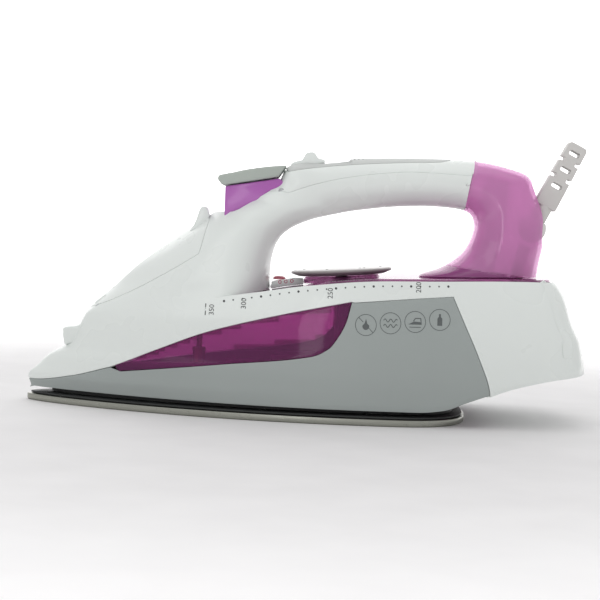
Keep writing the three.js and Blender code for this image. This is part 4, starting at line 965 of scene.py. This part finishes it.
def make_heel():
    bm = bmesh.new()
    made = bmesh.ops.create_grid(bm, x_segments=40, y_segments=26, size=1)["verts"]
    for v in made:
        y, z = v.co.x * 26.7, mix(33.3, 65.7, (v.co.y + 1) / 2)
        corner = max(0, abs(y) - 23.7), max(0, abs(z - 49.5) - 13.2)
        far = math.hypot(*corner)
        if far > 3:
            y = math.copysign(23.7 + corner[0] * 3 / far, y)
            z = 49.5 + math.copysign(13.2 + corner[1] * 3 / far, z - 49.5)
        v.co = metres(heel_x(y, z), y, z)
    for f in bm.faces:
        f.normal_update()
    if sum(f.normal.x for f in bm.faces) < 0:
        bmesh.ops.reverse_faces(bm, faces=bm.faces)
    bm = walled(bm, WALL, 0.3)
    tools = []
    for side in (-1, 1):
        tool = bmesh.new()
        turned(tool, [(0, -8), (4.4, -8), (4.4, 4), (0, 4)], metres(heel_x(18, 50) + 0.6, side * 18, 50), (1, 0, 0), 32)
        tools.append(tool)
    piece("heel_cover_panel", cut(bm, *tools), white, "iron", "white", "heel_cover")
    for k, side in enumerate((-1, 1)):
        bm = bmesh.new()
        seat = metres(heel_x(18, 50) - 2.0, side * 18, 50)
        turned(bm, [(0, -8.5), (2, -8.5), (2, -0.6), (3.75, -0.6), (3.75, 0.5), (3.4, 0.9), (2.4, 1.15), (0, 1.25)], seat,
               (1, 0, 0), 32)
        tools = []
        for wide, tall in ((3.6, 0.8), (0.8, 3.6)):
            tool = bmesh.new()
            made = bmesh.ops.create_cube(tool, size=1)["verts"]
            bmesh.ops.scale(tool, verts=made, vec=(1.6 * MM, wide * MM, tall * MM))
            bmesh.ops.translate(tool, verts=made, vec=seat + Vector((1.2 * MM, 0, 0)))
            tools.append(tool)
        piece(f"heel_screw_head_{k + 1}", cut(bm, *tools), fixing_steel, "iron", "steel", f"heel_screw_{k + 1}")


# ---------------------------------------------------------------- sole
def plan(x0, x1, width, count=64):
    side = []
    for i in range(count + 1):
        u = 0.5 - 0.5 * math.cos(math.pi * i / count)
        if u <= 0.76:
            share = math.sin(math.pi / 2 * u / 0.76) ** 0.707
        else:
            share = max(0.0, 1 - ((u - 0.76) / 0.24) ** 3.2) ** (1 / 3.2)
        side.append((mix(x0, x1, u), share * width / 2))
    side[0], side[-1] = (side[0][0], 0.0), (side[-1][0], 0.0)
    return [(x, -y) for x, y in side] + [(x, y) for x, y in side[-2:0:-1]]


def flat_plate(outline, z0, z1, edges=()):
    """A plate on a plan outline; edges gives (width, which height) of the edges to round."""
    bm = bmesh.new()
    face = bm.faces.new([bm.verts.new(metres(x, y, z0)) for x, y in outline])
    grown = bmesh.ops.extrude_face_region(bm, geom=[face])
    bmesh.ops.translate(bm, verts=[g for g in grown["geom"] if isinstance(g, bmesh.types.BMVert)],
                        vec=(0, 0, (z1 - z0) * MM))
    bmesh.ops.recalc_face_normals(bm, faces=bm.faces)
    for width, z, segments in edges:
        ring = [e for e in bm.edges if all(abs(v.co.z / MM - z) < 1e-3 for v in e.verts)]
        bmesh.ops.bevel(bm, geom=ring, offset=width * MM, offset_type="OFFSET", segments=segments, profile=0.5,
                        affect="EDGES", clamp_overlap=True, material=-1)
    return bm


def make_sole():
    bm = flat_plate(plan(0, 229.5, 120, 90), 0, 3.4, [(1.0, 0, 3), (0.35, 3.4, 2)])
    drill = bmesh.new()
    for x in (28, 40, 52, 66, 82, 100, 122, 144):
        reach = 0.62 * 60 * math.sin(math.pi / 2 * x / (0.76 * 229.5)) ** 0.707
        for side in (-1, 1):
            turned(drill, [(0, -1), (2.1, -1), (2.1, 0), (1.6, 0.6), (1.6, 5), (0, 5)], metres(x, side * reach, 0), (0, 0, 1), 16)
    for x in (14, 60, 92):
        turned(drill, [(0, -1), (2.1, -1), (2.1, 0), (1.6, 0.6), (1.6, 5), (0, 5)], metres(x, 0, 0), (0, 0, 1), 16)
    piece("soleplate_steel", cut(bm, drill), steel, "iron", "steel", "soleplate")
    piece("base_plate_black", flat_plate(plan(2, 228.3, 117.6, 90), 3.7, 4.7, [(0.25, 3.7, 1), (0.3, 4.7, 2)]), black,
          "iron", "black", "base_plate")
    bm = flat_plate(plan(13, 224, 100, 90), 5.0, 19.5, [(0.8, 19.5, 3)])
    inner = flat_plate(plan(17, 222, 96, 60), 4.0, 17.5)
    bm = cut(bm, inner)
    for x in (176, 186, 196, 206):    # stiffening ribs round the back of the shroud
        u = (x - 13) / 211
        y = 50 * (math.sin(math.pi / 2 * u / 0.76) ** 0.707 if u <= 0.76 else
                  max(0, 1 - ((u - 0.76) / 0.24) ** 3.2) ** (1 / 3.2))
        for side in (-1, 1):
            a, b = sorted((side * (y - 1), side * (y + 1.2)))
            box(bm, x, x + 2.2, a, b, 5.2, 12, 0.3)
    piece("heat_shroud_black", bm, black, "iron", "black", "heat_shroud")


# ---------------------------------------------------------------- printed marks
def laid_on_body(bm, side, lift=0.06):
    """Takes a flat mesh drawn in x and z, in millimetres, onto the side of the body."""
    for v in bm.verts:
        x, z = v.co.x, v.co.z
        v.co = metres(x, side * (hull_y(x, z) + lift), z)


def lettered(words, x, z, size, turn, flip):
    """Flat numbers centred on x, z, as a bmesh in millimetres."""
    text = bpy.data.curves.new("figures", "FONT")
    text.body = words
    text.size = size
    text.align_x = "CENTER"
    text.align_y = "CENTER"
    text.resolution_u = 3
    obj = bpy.data.objects.new("figures", text)
    bpy.context.scene.collection.objects.link(obj)
    bm = applied(obj)
    c, s = math.cos(turn), math.sin(turn)
    for v in bm.verts:
        a, b = v.co.x * flip, v.co.y
        v.co = Vector((x + a * c - b * s, 0, z + a * s + b * c))
    return bm


def disc(bm, x, z, radius, steps=16):
    made = bmesh.ops.create_circle(bm, cap_ends=True, radius=radius, segments=steps)["verts"]
    for v in made:
        v.co = Vector((x + v.co.x, 0, z + v.co.y))


def line_ring(bm, x, z, radius, width, steps=48):
    outer = bmesh.ops.create_circle(bm, radius=radius, segments=steps)["verts"]
    inner = bmesh.ops.create_circle(bm, radius=radius - width, segments=steps)["verts"]
    edges = list({e for v in outer + inner for e in v.link_edges})
    bmesh.ops.bridge_loops(bm, edges=edges)
    for v in outer + inner:
        v.co = Vector((x + v.co.x, 0, z + v.co.y))


def stroke(bm, points, width):
    """A printed line through points, as flat quads."""
    for (x0, z0), (x1, z1) in zip(points, points[1:]):
        size = math.hypot(x1 - x0, z1 - z0) or 1
        ox, oz = -(z1 - z0) / size * width / 2, (x1 - x0) / size * width / 2
        bm.faces.new([bm.verts.new((x, 0, z)) for x, z in
                      ((x0 + ox, z0 + oz), (x0 - ox, z0 - oz), (x1 - ox, z1 - oz), (x1 + ox, z1 + oz))])


def patch(bm, points):
    bm.faces.new([bm.verts.new((x, 0, z)) for x, z in points])


def facing(bm, side):
    for f in bm.faces:
        f.normal_update()
    wrong = [f for f in bm.faces if f.normal.y * side < 0]
    bmesh.ops.reverse_faces(bm, faces=wrong)


def make_marks():
    for name, side in (("near", -1), ("far", 1)):
        bm = bmesh.new()
        for k in range(25):
            x = 104.2 + (215.7 - 104.2) * k / 24
            disc(bm, x, rim(x) - 2.4, 0.42 if k % 4 else 0.6, 10)
        for words, x, z in (("350", 98.2, 53.1), ("300", 114.3, 57.0), ("250", 157.3, 64.0), ("200", 201, 68.6)):
            joined(bm, lettered(words, x, z, 3.6, math.radians(90) if side < 0 else math.radians(90), 1 if side < 0 else -1))
        stroke(bm, [(95.0, 50.3), (95.0, 56.0)], 0.5)
        laid_on_body(bm, side)
        facing(bm, side)
        piece("water_scale_" + name, bm, ink, "iron", "white")

        bm = bmesh.new()
        centres = [(175.2, 49.3), (187.3, 50.6), (199.5, 51.7), (211.7, 53.1)]
        for x, z in centres:
            line_ring(bm, x, z, 5.3, 0.3)
        x, z = centres[0]             # a drop, struck through
        patch(bm, [(x + 1.7 * math.sin(a) * (1 if abs(a) < 2.2 else 0.75), z - 0.7 - 1.7 * math.cos(a))
                   for a in [math.radians(-150 + 20 * i) for i in range(16)]] + [(x, z + 3.1)])
        stroke(bm, [(x - 3.6, z + 3.6), (x + 3.6, z - 3.6)], 0.35)
        x, z = centres[1]             # two waves of steam
        for up in (-1.3, 1.3):
            stroke(bm, [(x - 3.4 + 0.4 * i, z + up + 0.8 * math.sin(0.9 * i)) for i in range(18)], 0.4)
        x, z = centres[2]             # a plate with a grip over it
        patch(bm, [(x - 3.4, z - 1.3), (x + 3.2, z - 1.3), (x + 3.2, z - 0.1), (x - 0.6, z + 0.2)])
        stroke(bm, [(x - 0.9, z + 0.3), (x + 0.1, z + 1.7), (x + 2.7, z + 1.8), (x + 2.9, z + 0.1)], 0.45)
        stroke(bm, [(x - 2.8, z - 2.6), (x + 2.8, z - 2.6)], 0.35)
        x, z = centres[3]             # a bottle
        patch(bm, [(x - 1.2, z - 2.9), (x + 1.2, z - 2.9), (x + 1.2, z + 0.6), (x + 0.5, z + 1.5), (x + 0.5, z + 2.8),
                   (x - 0.5, z + 2.8), (x - 0.5, z + 1.5), (x - 1.2, z + 0.6)])
        laid_on_body(bm, side)
        facing(bm, side)
        piece("panel_symbols_" + name, bm, icon_ink, "iron", "grey")


# ---------------------------------------------------------------- stage, light and camera
def make_stage():
    floor = bmesh.new()
    bmesh.ops.create_grid(floor, x_segments=4, y_segments=4, size=6)
    mesh = bpy.data.meshes.new("floor")
    floor.to_mesh(mesh)
    floor.free()
    obj = bpy.data.objects.new("floor", mesh)
    bpy.context.scene.collection.objects.link(obj)
    mat, nodes, links, shader, where = blank("pale_floor")
    grain = noise(nodes, links, where, 30, 2)
    links.new(ramp(nodes, links, grain, (0.3, (0.80, 0.79, 0.795, 1)), (0.7, (0.83, 0.82, 0.825, 1))),
              shader.inputs["Base Color"])
    shader.inputs["Roughness"].default_value = 0.75
    shader.inputs["Specular IOR Level"].default_value = 0.2
    # painted light: the floor glows white, from nothing within 0.2 m of the iron up to half strength beyond 0.7 m, so
    # the far floor fades into the bright backdrop while the floor round the iron stays darker
    away = nodes.new("ShaderNodeVectorMath")
    away.operation = "LENGTH"
    links.new(where, away.inputs[0])
    painted_floor_glow = nodes.new("ShaderNodeMapRange")
    painted_floor_glow.interpolation_type = "SMOOTHSTEP"
    painted_floor_glow.inputs["From Min"].default_value, painted_floor_glow.inputs["From Max"].default_value = 0.2, 0.7
    painted_floor_glow.inputs["To Min"].default_value, painted_floor_glow.inputs["To Max"].default_value = 0.0, 0.5
    links.new(away.outputs["Value"], painted_floor_glow.inputs["Value"])
    links.new(painted_floor_glow.outputs["Result"], shader.inputs["Emission Strength"])
    shader.inputs["Emission Color"].default_value = (1, 1, 1, 1)
    mesh.materials.append(mat)

    wall = bmesh.new()
    bmesh.ops.create_grid(wall, x_segments=2, y_segments=2, size=3, matrix=Matrix.Translation((0, 3, 1.5)) @ Matrix.Rotation(
        math.radians(90), 4, "X"))
    mesh = bpy.data.meshes.new("backdrop")
    wall.to_mesh(mesh)
    wall.free()
    obj = bpy.data.objects.new("backdrop", mesh)
    bpy.context.scene.collection.objects.link(obj)
    mat, nodes, links, shader, where = blank("bright_backdrop")
    shader.inputs["Emission Color"].default_value = (1, 1, 1, 1)
    shader.inputs["Emission Strength"].default_value = 1.0
    mesh.materials.append(mat)

    world = bpy.data.worlds.new("studio")
    world.use_nodes = True
    world.node_tree.nodes["Background"].inputs["Color"].default_value = (1, 1, 1, 1)
    world.node_tree.nodes["Background"].inputs["Strength"].default_value = 0.62
    bpy.context.scene.world = world
    bpy.context.scene.view_settings.view_transform = "Standard"

    def lamp(name, place, target, size, power, tall=None):
        light = bpy.data.lights.new(name, "AREA")
        light.energy, light.size = power, size
        if tall:
            light.shape, light.size_y = "RECTANGLE", tall
        obj = bpy.data.objects.new(name, light)
        obj.location = place
        obj.rotation_euler = (Vector(target) - Vector(place)).to_track_quat("-Z", "Y").to_euler()
        bpy.context.scene.collection.objects.link(obj)
    lamp("key", (-0.7, -0.9, 1.1), (0, 0, 0.05), 0.8, 1.6)
    lamp("strip", (-0.25, -1.1, 0.35), (0, 0, 0.08), 0.12, 0.7, 0.9)
    lamp("top", (0.1, 0.1, 1.3), (0, 0, 0), 1.0, 2.5)

    camera = bpy.data.cameras.new("camera")
    camera.lens, camera.sensor_width = 91.08, 36
    camera.clip_start = 0.01
    obj = bpy.data.objects.new("camera", camera)
    turn = Matrix.Rotation(math.radians(87.115), 4, "X") @ Matrix.Rotation(math.radians(2.2), 4, "Z")
    obj.matrix_world = Matrix.Translation((-0.00271, -0.8, 0.098)) @ turn
    bpy.context.scene.collection.objects.link(obj)
    bpy.context.scene.camera = obj


make_stage()
make_sole()
make_skirt()
make_body()
make_handle()
make_lid()
make_nozzle()
make_tank()
make_cover()
make_dial()
make_leg()
make_buttons()
make_cord_outlet()
make_heel()
make_marks()
